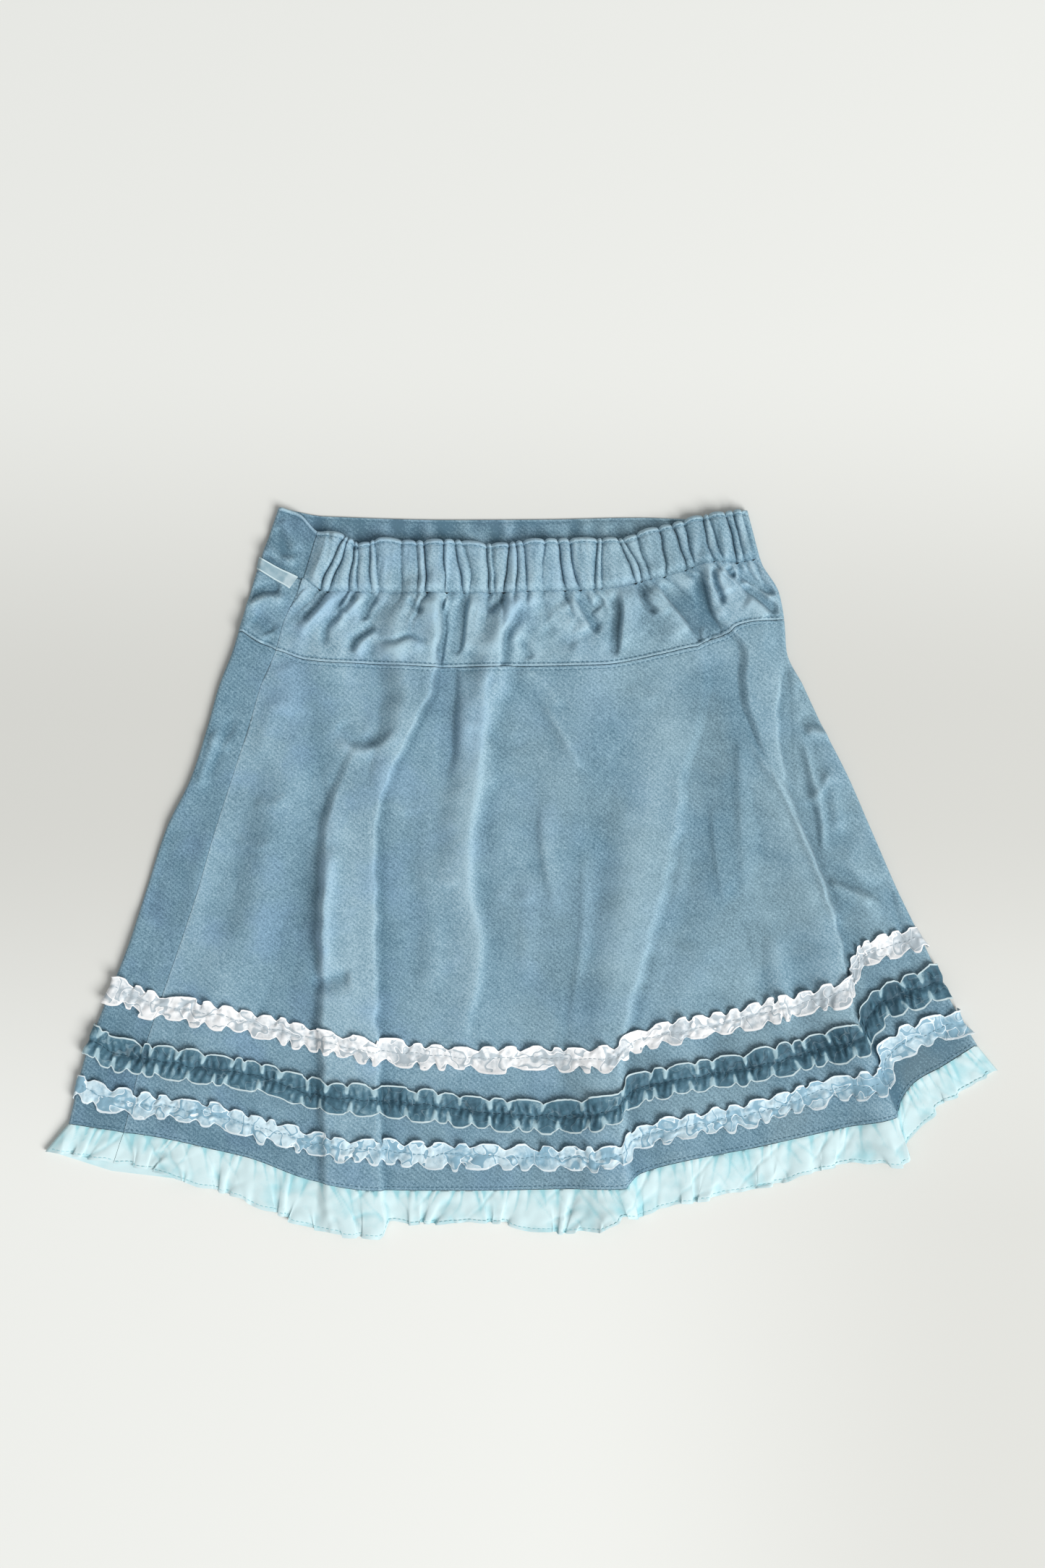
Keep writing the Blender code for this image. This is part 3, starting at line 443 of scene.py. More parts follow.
def creaseHeight(x, y, rows, spread=1.0):
    # Sum of the listed creases: height * bell(distance, reach) from each smooth line, with one reach on each
    # side, faded at both ends
    total = np.zeros(x.shape)
    for height, west, east, points in rows:
        points = np.array(points, float)
        chord = runAlong(points)
        at = np.linspace(0, chord[-1], crease["points"])
        line = np.stack([smoothLine(chord, points[:, k], at) for k in (0, 1)], -1)
        west, east = west * spread, east * spread
        reach = crease["cutOff"] * max(west, east)
        low, high = line.min(0) - reach, line.max(0) + reach
        near = (x > low[0]) & (x < high[0]) & (y > low[1]) & (y < high[1])
        px, py = x[near], y[near]
        best = np.full(px.shape, np.inf)
        side = np.zeros(px.shape)
        along = np.zeros(px.shape)
        for n, (start, d) in enumerate(zip(line[:-1], np.diff(line, axis=0))):
            t = np.clip(((px - start[0]) * d[0] + (py - start[1]) * d[1]) / np.hypot(*d) ** 2, 0, 1)
            ox, oy = px - start[0] - t * d[0], py - start[1] - t * d[1]
            away = np.hypot(ox, oy)
            closer = away < best
            best = np.where(closer, away, best)
            side = np.where(closer, -d[1] * ox + d[0] * oy, side)
            along = np.where(closer, (n + t) / (len(line) - 1), along)
        fade = ease(along / crease["fade"]) * ease((1 - along) / crease["fade"])
        total[near] += height * fade * bell(best, np.where(side > 0, east, west))
    return total


# The large folds wander a little, end at the side edges and are lower towards the waist
folds = {
    "wander": 0.9, "wanderSize": 21, "wanderSeed": 200,
    "edgeFrom": 2.0, "edgeOver": 12.0, "edgeRise": 14.0,
    "waistFrom": 165.0, "waistOver": 30.0, "waistDrop": 0.6,
}


def foldHeight(x, y):
    # The highest of the large folds at each point, each a level top with eased sides, over a
    # rest height that rises a little towards the two side edges
    tallest = np.zeros(np.broadcast(x, y).shape)
    level = np.clip(y, foldLevels[-1], foldLevels[0])
    for line, shift, flat, left, right, heights in foldRows:
        shift, flat, height = (
            smoothLine(foldLevels[::-1], np.broadcast_to(row, len(foldLevels))[::-1], level)
            for row in (shift, flat, heights))
        wander = folds["wander"] * softNoise(0.15 * x, y, folds["wanderSize"], folds["wanderSeed"])
        fromCrest = x - cutLine(line, y) - shift + wander
        rise = ease(1 + (fromCrest + flat) / left) * ease(1 - fromCrest / right)
        tallest = np.maximum(tallest, height * rise)
    edge = np.minimum(x - cutLine("leftEdge", y), cutLine("rightEdge", y) - x)
    lift = (2 * cloth["edgeRoll"] - cloth["topRest"]) * ease(1 - edge / folds["edgeRise"])
    tallest = tallest * (1 - folds["waistDrop"] * ease((y - folds["waistFrom"]) / folds["waistOver"]))
    return cloth["topRest"] + tallest * ease((edge - folds["edgeFrom"]) / folds["edgeOver"]) + lift


def spreadPlaces(start, stop, spacing, level):
    # Places about one spacing apart in x at the given height, with one on each line between
    marks = [start] + [k for k in range(7) if start + 0.01 < k < stop - 0.01] + [stop]
    places = []
    for a, b in zip(marks[:-1], marks[1:]):
        width = xAt(np.array([b - 1e-6]), np.array([level])) - xAt(np.array([a]), np.array([level]))
        count = max(int(np.ceil(width[0] / spacing)), 2)
        places.extend(a + (b - a) * np.arange(count) / count)
    return np.array(places + [stop])


def planOf(places, heights):
    # The plan (x, y) of each place at its heights
    grid = np.broadcast_to(places[:, None], heights.shape)
    return np.dstack([xAt(grid, heights), heights])


def rowsBetween(high, low, shares):
    # high + share * (low - high) for each of the shares
    return high[:, None] + (low - high)[:, None] * np.asarray(shares)[None]


def fromSeam(places, level):
    # How far each place lies from the left side seam, in mm
    return np.abs(xAt(places, np.full(len(places), level)) - xAt(np.array([1.0]), np.array([level])))


def everyOther(count, step):
    # Every step-th number below count, with the last one
    kept = list(range(0, count - 1, step)) + [count - 1]
    if len(kept) > 2 and kept[-1] - kept[-2] < step / 2:
        kept.pop(-2)
    return np.array(kept)


def lowestAround(z, across, down):
    # The lowest of the outer heights in the cells round each kept point, taken first along
    # one direction and then along the other
    for kept, axis in ((across, 0), (down, 1)):
        ends = [(kept[max(i - 1, 0)], kept[min(i + 1, len(kept) - 1)] + 1) for i in range(len(kept))]
        z = np.stack([np.take(z, range(*end), axis).min(axis) for end in ends], axis)
    return z


def quads(index, flip):
    # The four corners of every cell of a grid of point numbers
    a, b, c, d = index[:-1, :-1], index[1:, :-1], index[1:, 1:], index[:-1, 1:]
    faces = np.stack([a, b, c, d], -1).reshape(-1, 4)
    return (faces[:, ::-1] if flip else faces).tolist()


def stitchBorder(outerLine, innerLine, kept, flip):
    # Triangles that join a border of the outer grid to the coarser border of the inner grid
    faces = []
    for n in range(len(kept) - 1):
        a, b = kept[n], kept[n + 1]
        middle = (a + b) // 2 if b - a > 1 else a
        faces += [(outerLine[k + 1], outerLine[k], innerLine[n] if k < middle else innerLine[n + 1])
                  for k in range(a, b)]
        faces.append((outerLine[middle], innerLine[n], innerLine[n + 1]))
    return [face[::-1] if flip else face for face in faces]


def addPiece(name, points, faces):
    # A mesh from points in the drawing's millimetres, as an object that stands at the origin
    mesh = bpy.data.meshes.new(name)
    mesh.from_pydata(((points + frameShift) * 0.001).tolist(), [], faces)
    piece = bpy.data.objects.new(name, mesh)
    bpy.context.scene.collection.objects.link(piece)
    return piece


def makeWall(name, outer, inner, keptAcross, keptDown, marks, material):
    # A closed cloth wall: an outer grid of points, an inner grid under some of them, and the
    # four borders between. Grids are (across, down, xyz) in millimetres.
    across, down = outer.shape[:2]
    first = np.arange(across * down).reshape(across, down)
    second = across * down + np.arange(len(keptAcross) * len(keptDown))
    second = second.reshape(len(keptAcross), len(keptDown))
    faces = quads(first, False) + quads(second, True)
    faces += stitchBorder(first[:, 0], second[:, 0], keptAcross, False)
    faces += stitchBorder(first[:, -1], second[:, -1], keptAcross, True)
    faces += stitchBorder(first[0], second[0], keptDown, True)
    faces += stitchBorder(first[-1], second[-1], keptDown, False)
    turn = np.cross(np.gradient(outer, axis=0), np.gradient(outer, axis=1))
    kept = np.ix_(keptAcross, keptDown)
    if ((outer[kept] - inner) * turn[kept]).sum() < 0:
        faces = [face[::-1] for face in faces]
    piece = addPiece(name, np.concatenate([outer.reshape(-1, 3), inner.reshape(-1, 3)]), faces)
    mesh = piece.data
    mesh.update()
    for key, value in marks.items():
        value = np.broadcast_to(value, (across, down))
        layer = mesh.attributes.new(key, "FLOAT", "POINT")
        full = np.concatenate([value.reshape(-1), value[kept].reshape(-1)])
        layer.data.foreach_set("value", full.astype(np.float32))
    mesh.shade_smooth()
    mesh.set_sharp_from_angle(angle=np.radians(75))
    mesh.materials.append(material)
    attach(piece, "root")
    return piece


def makeStrip(name, outer, inner, across, tone, material):
    # A ribbon's wall, with as many points inside as outside, marked by how far across it each
    # point lies
    kept = [np.arange(count) for count in outer.shape[:2]]
    return makeWall(name, outer, inner, *kept, {"across": across, "tone": tone}, material)


def rollRound(edge, toward, angles):
    # Cloth round a side edge: x = edge - toward * roll * cos(angle), z = half * (1 + sin(angle))
    return np.dstack([edge[:, 0] - toward * cloth["edgeRoll"] * np.cos(angles),
                      np.broadcast_to(edge[:, 1], (len(angles), len(edge))),
                      edge[:, 2] / 2 * (1 + np.sin(angles))])


def rollHalf(side, topPlan, topFace, wall, step, underPlan, underInner=None, underFace=0.0):
    # One half of a tube of cloth laid flat: a run on the upper side, a roll round the side
    # edge, and a run on the table. Both plans start at the rolled edge.
    toward = 1 if side == "left" else -1
    outerTop = np.dstack([topPlan, topFace])
    keptAcross, keptDown = everyOther(len(topFace), step[0]), everyOther(topFace.shape[1], step[1])
    low = lowestAround(topFace, keptAcross, keptDown)
    innerTop = np.dstack([topPlan[np.ix_(keptAcross, keptDown)],
                          np.maximum(low - wall, wall + cloth["gap"])])
    angles = np.radians(np.linspace(68, -68, 7))[:, None]
    inside = innerTop[0]
    middle, halfInside = (inside[:, 2] + wall) / 2, (inside[:, 2] - wall) / 2
    innerRoll = np.dstack([
        inside[:, 0] - toward * (cloth["edgeRoll"] - wall) * np.cos(angles),
        np.broadcast_to(inside[:, 1], (len(angles), len(inside))), middle + halfInside * np.sin(angles)])
    outerUnder = np.dstack([underPlan, np.zeros(underPlan.shape[:2]) + underFace])
    innerUnder = outerUnder[:, keptDown].copy()
    innerUnder[..., 2] = wall if underInner is None else underInner
    outer = np.concatenate([outerTop[::-1], rollRound(outerTop[0], toward, angles), outerUnder])
    inner = np.concatenate([innerTop[::-1], innerRoll, innerUnder])
    last = len(topFace) - 1
    kept = np.concatenate([last - keptAcross[::-1], np.arange(last + 1, len(outer))])
    return outer, inner, kept, keptDown


def toLinear(text):
    # sRGB hex to linear colour
    value = np.array([int(text[k:k + 2], 16) for k in (1, 3, 5)]) / 255
    linear = np.where(value <= 0.04045, value / 12.92, ((value + 0.055) / 1.055) ** 2.4)
    return (*linear.tolist(), 1.0)


def addNode(material, kind, settings=None, inputs=None, output=0):
    # Adds one node, with its settings, colour stops, values and links, and gives back one of
    # its outputs
    tree = material.node_tree
    node = tree.nodes.new("ShaderNode" + kind)
    for key, value in (settings or {}).items():
        if key == "stops":
            elements = node.color_ramp.elements
            for k in (0, -1):
                elements[k].position, elements[k].color = value[k][0], toLinear(value[k][1])
            for position, colour in value[1:-1]:
                elements.new(position).color = toLinear(colour)
        else:
            setattr(node, key, value)
    for key, value in (inputs or {}).items():
        if isinstance(value, bpy.types.NodeSocket):
            tree.links.new(value, node.inputs[key])
        else:
            node.inputs[key].default_value = value
    return node.outputs[output] if len(node.outputs) else None


def newMaterial(name):
    material = bpy.data.materials.new(name)
    material.use_nodes = True
    material.node_tree.nodes.clear()
    return material


# Washed brushed corduroy: cotton woven with fine slanting cords, dyed light blue, washed and
# brushed up, so the eye sees a matt mottled nap with a pale bloom at grazing angles.
corduroy = {
    "cordPeriod": 2.1,          # mm, about twice the real one, so that the cords show
    "cordTurn": -50.0,          # degrees that the cords slant
    "cordShare": 0.17,
    # Size in mm, detail and share of the tone: the tufts of the nap, tufts that lie together
    # and the washed patches
    "patterns": ((0.85, 3.0, 1.75), (2.4, 2.0, 0.35), (15.0, 4.0, 0.46)),
    "tone": 0.54,
    "stops": ((0.0, "#527486"), (0.5, "#7c9dae"), (1.0, "#a5c1ce")),
    # Greyer patches where the dye has washed out, most at the right, and bluer ones where it
    # has held, most at the left: colour, noise level, patches in a metre, and the x in metres
    # where there are fewest and most
    "tints": (("#8ba6b0", 0.40, 22.0, -0.12, 0.14), ("#7b9fbd", 0.48, 34.0, 0.12, -0.16)),
}


def corduroyMaterial(name, lift=0.0):
    material = newMaterial(name)
    coords = addNode(material, "TexCoord", output="Object")
    turned = addNode(material, "Mapping", None, {
        "Vector": coords, "Rotation": (0, 0, np.radians(corduroy["cordTurn"]))})
    # A wave texture's period is 0.3142 over its scale
    cords = addNode(material, "TexWave", {"wave_type": "BANDS", "bands_direction": "X"}, {
        "Vector": turned, "Scale": 314.2 / corduroy["cordPeriod"], "Distortion": 0.7,
        "Detail": 1.0, "Detail Scale": 0.4}, "Fac")
    patterns = [(cords, corduroy["cordShare"])]
    for size, detail, share in corduroy["patterns"]:
        patterns.append((addNode(material, "TexNoise", None, {
            "Vector": coords, "Scale": 1000 / size, "Detail": detail, "Roughness": 0.62}), share))
    # The tone attribute carries the worn nap, random mottling and painted light and shade
    level = addNode(material, "Attribute", {"attribute_name": "tone"}, output="Fac")
    for pattern, share in patterns:
        level = addNode(material, "Math", {"operation": "MULTIPLY_ADD"}, {0: pattern, 1: share, 2: level})
    middle = sum(share for pattern, share in patterns) / 2
    level = addNode(material, "Math", {"operation": "ADD"}, {0: level, 1: corduroy["tone"] - middle + lift})
    colour = addNode(material, "ValToRGB", {"stops": corduroy["stops"]}, {"Fac": level})
    acrossSkirt = addNode(material, "SeparateXYZ", None, {0: coords}, "X")
    for tint, low, scale, fewest, most in corduroy["tints"]:
        patch = addNode(material, "TexNoise", None, {"Vector": coords, "Scale": scale, "Detail": 4.0})
        side = addNode(material, "MapRange", None, {
            "Value": acrossSkirt, "From Min": fewest, "From Max": most, "To Min": 0.1, "To Max": 0.5})
        share = addNode(material, "MapRange", None, {
            "Value": patch, "From Min": low, "From Max": low + 0.16, "To Min": 0.02, "To Max": side})
        colour = addNode(material, "Mix", {"data_type": "RGBA", "blend_type": "COLOR"}, {
            "Factor": share, 6: colour, 7: toLinear(tint)}, 2)
    height = addNode(material, "Math", {"operation": "MULTIPLY_ADD"}, {0: cords, 1: 0.3, 2: patterns[1][0]})
    bump = addNode(material, "Bump", None, {"Height": height, "Strength": 0.5, "Distance": 0.0005})
    shader = addNode(material, "BsdfPrincipled", None, {
        "Base Color": colour, "Roughness": 0.92, "Normal": bump, "Specular IOR Level": 0.2,
        "Sheen Weight": 0.18, "Sheen Roughness": 0.5, "Sheen Tint": toLinear("#dbe9f0")})
    addNode(material, "OutputMaterial", None, {"Surface": shader})
    return material


# Gathered velvet ribbon: dyed rayon pile that goes dark face on and pale where it turns away, with a pale
# woven satin edge. The pale bars at its valleys are partly that edge turned in and partly painted sheen; its
# hollow middle and the insides of its loops get painted shade, and its pleats painted light and shade
velvetRibbon = {
    "width": 17.6, "spacing": 0.5, "wall": 0.5, "seed": 4,
    "waves": (7.0, 18.0),       # mm along one gather
    "flatness": 0.24,           # lower is flatter on top
    "archPower": 0.28,          # the same for the outline
    "rise": 2.4, "cup": 0.8,    # height of a gather, and how it climbs to the edge
    "sway": 0.08, "lean": 0.3,  # a gather's top over its foot, in shares of its length
    "reach": 4.2, "wander": 0.7,
    "notch": 1.25,              # mm, half the width of the valley between two gathers
    # The valley, hollow, inside and pleat tones below are painted light and shade
    "pinch": 1.0, "valleyShading": 0.85,
    "hollow": 0.10, "inside": 0.10, "patches": 0.12,
    "curl": 0.0,                # turns of the edge over the ribbon, in radians for each mm
    "turnShade": 0.15, "turnEdge": 0.12,
    "crinkle": 0.15,
    "pleat": 3.4, "pleatRise": 0.6, "pleatShading": 0.2,
    "stops": ((0.1, "#284959"), (0.5, "#4b7284"), (0.95, "#9dbbc5")),
    "edge": "#c3d5d9", "edgeFrom": 0.93,
    "roughness": 0.6, "sheen": 0.5, "sheenTint": "#a9cbd6",
}

# Gathered sheer ribbon: thin nylon voile with a satin edge, so the eye sees soft pale loops with a bright
# line round them; painted shade darkens its valleys, its hollow middle and the insides of its loops, and its
# pleats get painted light and shade
voileRibbon = {
    "width": 13.6, "spacing": 0.42, "wall": 0.35,
    "waves": (7.5, 17.0), "flatness": 0.42, "archPower": 0.48,
    "rise": 2.6, "cup": 1.5, "sway": 0.14, "lean": 0.38, "reach": 4.6, "wander": 1.3,
    # The valley, hollow, inside and pleat tones here are painted light and shade
    "notch": 1.0, "pinch": 0.0, "valleyShading": -0.14,
    "hollow": 0.10, "inside": 0.12, "patches": 0.2, "curl": 0.45, "crinkle": 0.22,
    "pleat": 5.5, "pleatRise": 0.35, "pleatShading": 0.16,
    "turnEdge": 0.9, "roughness": 0.5, "sheen": 0.2, "sheenTint": "#ffffff",
}
whiteRibbon = {
    **voileRibbon, "seed": 11, "turnShade": 0.85, "edge": "#fdfdfd", "edgeFrom": 0.89,
    "stops": ((0.1, "#b0bcc3"), (0.5, "#eef0f1"), (0.95, "#f2f4f5")),
}
blueRibbon = {
    **voileRibbon, "seed": 23, "turnShade": 1.0, "edge": "#e4f0f5", "edgeFrom": 0.90,
    "stops": ((0.1, "#84aabd"), (0.5, "#c4dae3"), (0.95, "#d2e5ed")),
}

# Narrow velvet ribbon in a paler blue
tabRibbon = {
    "stops": ((0.1, "#8aa7b3"), (0.5, "#a2bac3"), (0.95, "#bdd0d7")), "edge": "#c9dde2", "edgeFrom": 0.80,
    "turnShade": 0.1, "turnEdge": 0.0, "roughness": 0.6, "sheen": 0.5, "sheenTint": "#a9cbd6",
}


def ribbonMaterial(name, ribbon):
    material = newMaterial(name)
    coords = addNode(material, "TexCoord", output="Object")
    across = addNode(material, "Attribute", {"attribute_name": "across"}, output="Fac")
    # The tone attribute carries random patches and painted light and shade
    tone = addNode(material, "Attribute", {"attribute_name": "tone"}, output="Fac")
    # Threads lie 0.2 mm apart on the real ribbon; 2.4 mm, 1000 / 420, is what shows
    nap = addNode(material, "TexNoise", None, {
        "Vector": coords, "Scale": 420.0, "Detail": 4.0, "Roughness": 0.6})
    level = addNode(material, "Math", {"operation": "MULTIPLY_ADD"}, {0: nap, 1: 0.7, 2: tone})
    level = addNode(material, "Math", {"operation": "ADD"}, {0: level, 1: 0.15})
    # Small turned-over folds, too fine for the mesh: along one level of a noise 8 mm across the
    # ribbon shows a bright edge, with a soft shade on one side of it
    turns = addNode(material, "TexNoise", None, {
        "Vector": coords, "Scale": 120.0, "Detail": 0.5, "Distortion": 0.5})
    below = addNode(material, "Math", {"operation": "LESS_THAN"}, {0: turns, 1: 0.5})
    shade = addNode(material, "MapRange", None, {
        "Value": turns, "From Min": 0.4, "From Max": 0.5, "To Max": -ribbon["turnShade"]})
    level = addNode(material, "Math", {"operation": "MULTIPLY_ADD"}, {0: below, 1: shade, 2: level})
    line = addNode(material, "Math", {"operation": "COMPARE"}, {0: turns, 1: 0.505, 2: 0.009})
    line = addNode(material, "Math", {"operation": "MULTIPLY"}, {0: line, 1: ribbon["turnEdge"]})
    body = addNode(material, "ValToRGB", {"stops": ribbon["stops"]}, {"Fac": level})
    away = addNode(material, "Math", {"operation": "ABSOLUTE"}, {0: across})
    edge = addNode(material, "MapRange", {"interpolation_type": "SMOOTHSTEP"}, {
        "Value": away, "From Min": ribbon["edgeFrom"] - 0.03, "From Max": ribbon["edgeFrom"]})
    edge = addNode(material, "Math", {"operation": "MAXIMUM"}, {0: edge, 1: line})
    colour = addNode(material, "Mix", {"data_type": "RGBA"}, {
        "Factor": edge, 6: body, 7: toLinear(ribbon["edge"])}, 2)
    bump = addNode(material, "Bump", None, {"Height": nap, "Strength": 0.3, "Distance": 0.0003})
    shader = addNode(material, "BsdfPrincipled", None, {
        "Base Color": colour, "Roughness": ribbon["roughness"], "Normal": bump,
        "Specular IOR Level": 0.3, "Sheen Weight": ribbon["sheen"], "Sheen Roughness": 0.35,
        "Sheen Tint": toLinear(ribbon["sheenTint"])})
    addNode(material, "OutputMaterial", None, {"Surface": shader})
    return material


# Hem frill: plain-woven lightweight cotton, piece-dyed pale aqua, so the eye sees a thin matt cloth with
# darker creases; the darker stop of its ramp is the painted shade that the tone gives the creases
cotton = {
    "stops": ((0.1, "#9accd4"), (0.55, "#cae1e4")),
    "threadPeriod": 0.45,       # mm
    "cloud": 60.0,              # soft patches of about 17 mm, 1000 / 60
}


def cottonMaterial(name):
    material = newMaterial(name)
    coords = addNode(material, "TexCoord", output="Object")
    cloud = addNode(material, "TexNoise", None, {
        "Vector": coords, "Scale": cotton["cloud"], "Detail": 4.0, "Roughness": 0.55})
    # The tone attribute carries the worn nap, random patches and painted shade
    tone = addNode(material, "Attribute", {"attribute_name": "tone"}, output="Fac")
    level = addNode(material, "Math", {"operation": "ADD"}, {0: cloud, 1: tone})
    colour = addNode(material, "ValToRGB", {"stops": cotton["stops"]}, {"Fac": level})
    weave = addNode(material, "TexNoise", None, {
        "Vector": coords, "Scale": 1000 / cotton["threadPeriod"], "Detail": 1.0})
    bump = addNode(material, "Bump", None, {"Height": weave, "Strength": 0.2, "Distance": 0.0002})
    shader = addNode(material, "BsdfPrincipled", None, {
        "Base Color": colour, "Roughness": 0.8, "Normal": bump, "Specular IOR Level": 0.3,
        "Sheen Weight": 0.15})
    addNode(material, "OutputMaterial", None, {"Surface": shader})
    return material


halfGap = cloth["gap"] / 2      # what a piece keeps back from a seam line

# How far the drawing is moved so that the middle of its box is the frame's origin, read from
# two corners of the solids that the drawing gives as well
hemLeft = float(upper("hem", np.array([0.0]))[0]) + halfGap
frameShift = np.array([
    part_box("front_panel")[0].x * 1000 - float(cutLine("leftEdge", np.array([hemLeft]))[0]),
    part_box("front_waistband")[1].y * 1000 - lineRows[0][1],
    0.0])
print("drawing moved by", frameShift.round(3))

rowsOf = {}     # the upper run of each piece, for the stitches


def seamPlaces(side, spacing, level):
    # Places of the upper run and of the run underneath, from the rolled edge outwards
    gap = 0.0015    # half the gap in the seam, in places
    if side == "left":
        below = np.array([0, 1, 2, 3, 4, 5, cloth["underSeam"] - gap])
        return spreadPlaces(0, 1 - gap, spacing, level), below
    return spreadPlaces(1 + gap, 6, spacing, level)[::-1], np.array([6, 5.7, cloth["underSeam"] + gap])


def seamDip(places, level):
    # The cloth turns down into the side seam: -0.2 * bell(distance from the seam, 0.8), in mm
    return -0.2 * bell(fromSeam(places, level), 0.8)[:, None]


def standsOut(face, across, down):
    # How far each point stands above the mean of its surroundings, in mm: worn crests are paler, and valleys
    # darker with painted shade
    mean = face
    for axis, width in ((0, across), (1, down)):
        wide = np.pad(mean, [(width, width) if a == axis else (0, 0) for a in (0, 1)], mode="edge")
        total = np.cumsum(wide, axis=axis)
        far = np.take(total, range(2 * width, total.shape[axis]), axis=axis)
        near = np.take(total, range(0, total.shape[axis] - 2 * width), axis=axis)
        mean = (far - near) / (2 * width)
    return face - mean


def wearAndShade(face, piece, more=0.0):
    # Tone of the worn nap and painted shade, paler on crests and darker in valleys, within the piece's
    # wearAndShadeRange: the sum of gain * standsOut over so many cells across and down
    return np.clip(sum(gain * standsOut(face, *cells) for gain, *cells in piece["wearAndShade"]) + more,
                   *piece["wearAndShadeRange"])


def lobes(run, widths, seed):
    # Uneven gathers along a run in mm: the share of the way through each, its strength and its
    # length
    rng = np.random.default_rng(seed)
    wide = rng.uniform(*widths, 400) * rng.choice((1.0, 1.0, 0.7, 1.45), 400)
    edges = np.concatenate([[-rng.uniform(0, widths[1]) - 30], wide]).cumsum()
    k = np.clip(np.searchsorted(edges, run, side="right") - 1, 0, 399)
    return (run - edges[k]) / wide[k], rng.uniform(0.55, 1.0, 400)[k], wide[k]


def lobeTop(share, power):
    # Height across one gather: half a cosine wave raised to a power, flat on top below 1
    return ((1 - np.cos(2 * np.pi * share)) / 2 + 1e-4) ** power


def overhang(share, wide, lean):
    # How far a gather's side is pushed along the run, so that its top is wider than its foot:
    # lean * length * (0.11 sin(4 pi share) - 0.07 sin(2 pi share))
    return lean * wide * (0.11 * np.sin(4 * np.pi * share) - 0.07 * np.sin(2 * np.pi * share))


def finishHalf(name, parts, tone, material, plan, face, belowTone=None):
    # Makes the wall of a front or back piece, with its tone on the upper run and underneath
    marks = np.zeros(parts[0].shape[:2])
    marks[:len(tone)] = tone[::-1]
    if belowTone is not None:
        marks[-len(belowTone):] = belowTone
    piece = makeWall(name + "_cloth", *parts, {"tone": marks}, material)
    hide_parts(name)
    rowsOf[name] = np.dstack([plan, face])
    print(name, "made:", sum(len(f.vertices) - 2 for f in piece.data.polygons), "triangles")


# Front and back panels. Rows of ridges give height or tone, mm from the seam and half width; rows of uneven
# give height, size and seed; rows of wearAndShade give a gain and cells across and down, for the worn nap and
# painted shade.
panel = {
    "spacing": 1.25,            # mm from column to column
    "length": 292.0,            # mm that the rows below are meant for
    "topRows": (0, 0.4, 0.8, 1.2, 1.6, 2.0, 2.5, 3.2, 4.2),
    "middleRows": (5.6, 1.6),
    "hemRows": (2.2, 1.6, 1.0, 0.5, 0),
    "underColumns": {"left": 84, "right": 12},
    "creaseRise": 1.3, "creaseMore": 0.5,
    "uneven": ((0.35, 46, 3), (0.10, 14, 8)),
    "seamRidges": ((0.3, 0.9, 0.55), (-0.2, 2.0, 0.45)),
    "wearAndShade": ((0.12, 6, 5), (0.035, 22, 20)), "wearAndShadeRange": (-0.28, 0.26),
    "front": -0.25,             # the front's strip lies darker: painted shade, as it turns from the light
    "lowTone": (0.14, 26.0),    # darker below the white ribbon
    "rightTone": (0.05, 100.0, 40.0),
    "seamTone": (0.3, 0.9),
}

# The underside: how far its creases and the beds of the three ribbons stay off the table
bed = {
    "widths": (("white", 15.5), ("velvet", 19.0), ("blue", 15.5)),
    "depth": 0.6, "margin": 5, "slope": 1.5, "mostCrease": 0.55,
}


def panelFace(x, y):
    # The folds, the listed creases and a soft unevenness
    more = panel["creaseRise"] + panel["creaseMore"] * ease((x - 115) / 20)
    return foldHeight(x, y) + more * creaseHeight(x, y, creaseRows) + uneven(x, y, *panel["uneven"])


def underLine(line, place):
    # y of a ribbon's middle on the underside: as far above the hem as at the two side edges
    above = upper(line, np.array([0.0, 6.0])) - upper("hem", np.array([0.0, 6.0]))
    return under("hem", place) + above[0] + (above[1] - above[0]) * place / 6


def underHollow(places, y):
    # How far the pressed underside stays off the table: the higher of the listed creases and of the beds of
    # the three ribbons, level for the ribbon's width and eased beside it
    x = planOf(places, y)[..., 0]
    hollow = creaseHeight(x, y, underCreaseRows) + 0.12 * softNoise(x, 0.5 * y, 40, 120)
    hollow = np.clip(hollow, 0, bed["mostCrease"])
    for line, width in bed["widths"]:
        inside = width / 2 + bed["margin"] - np.abs(y - underLine(line, places)[:, None])
        hollow = np.maximum(hollow, bed["depth"] * ease(inside / bed["slope"]))
    return hollow


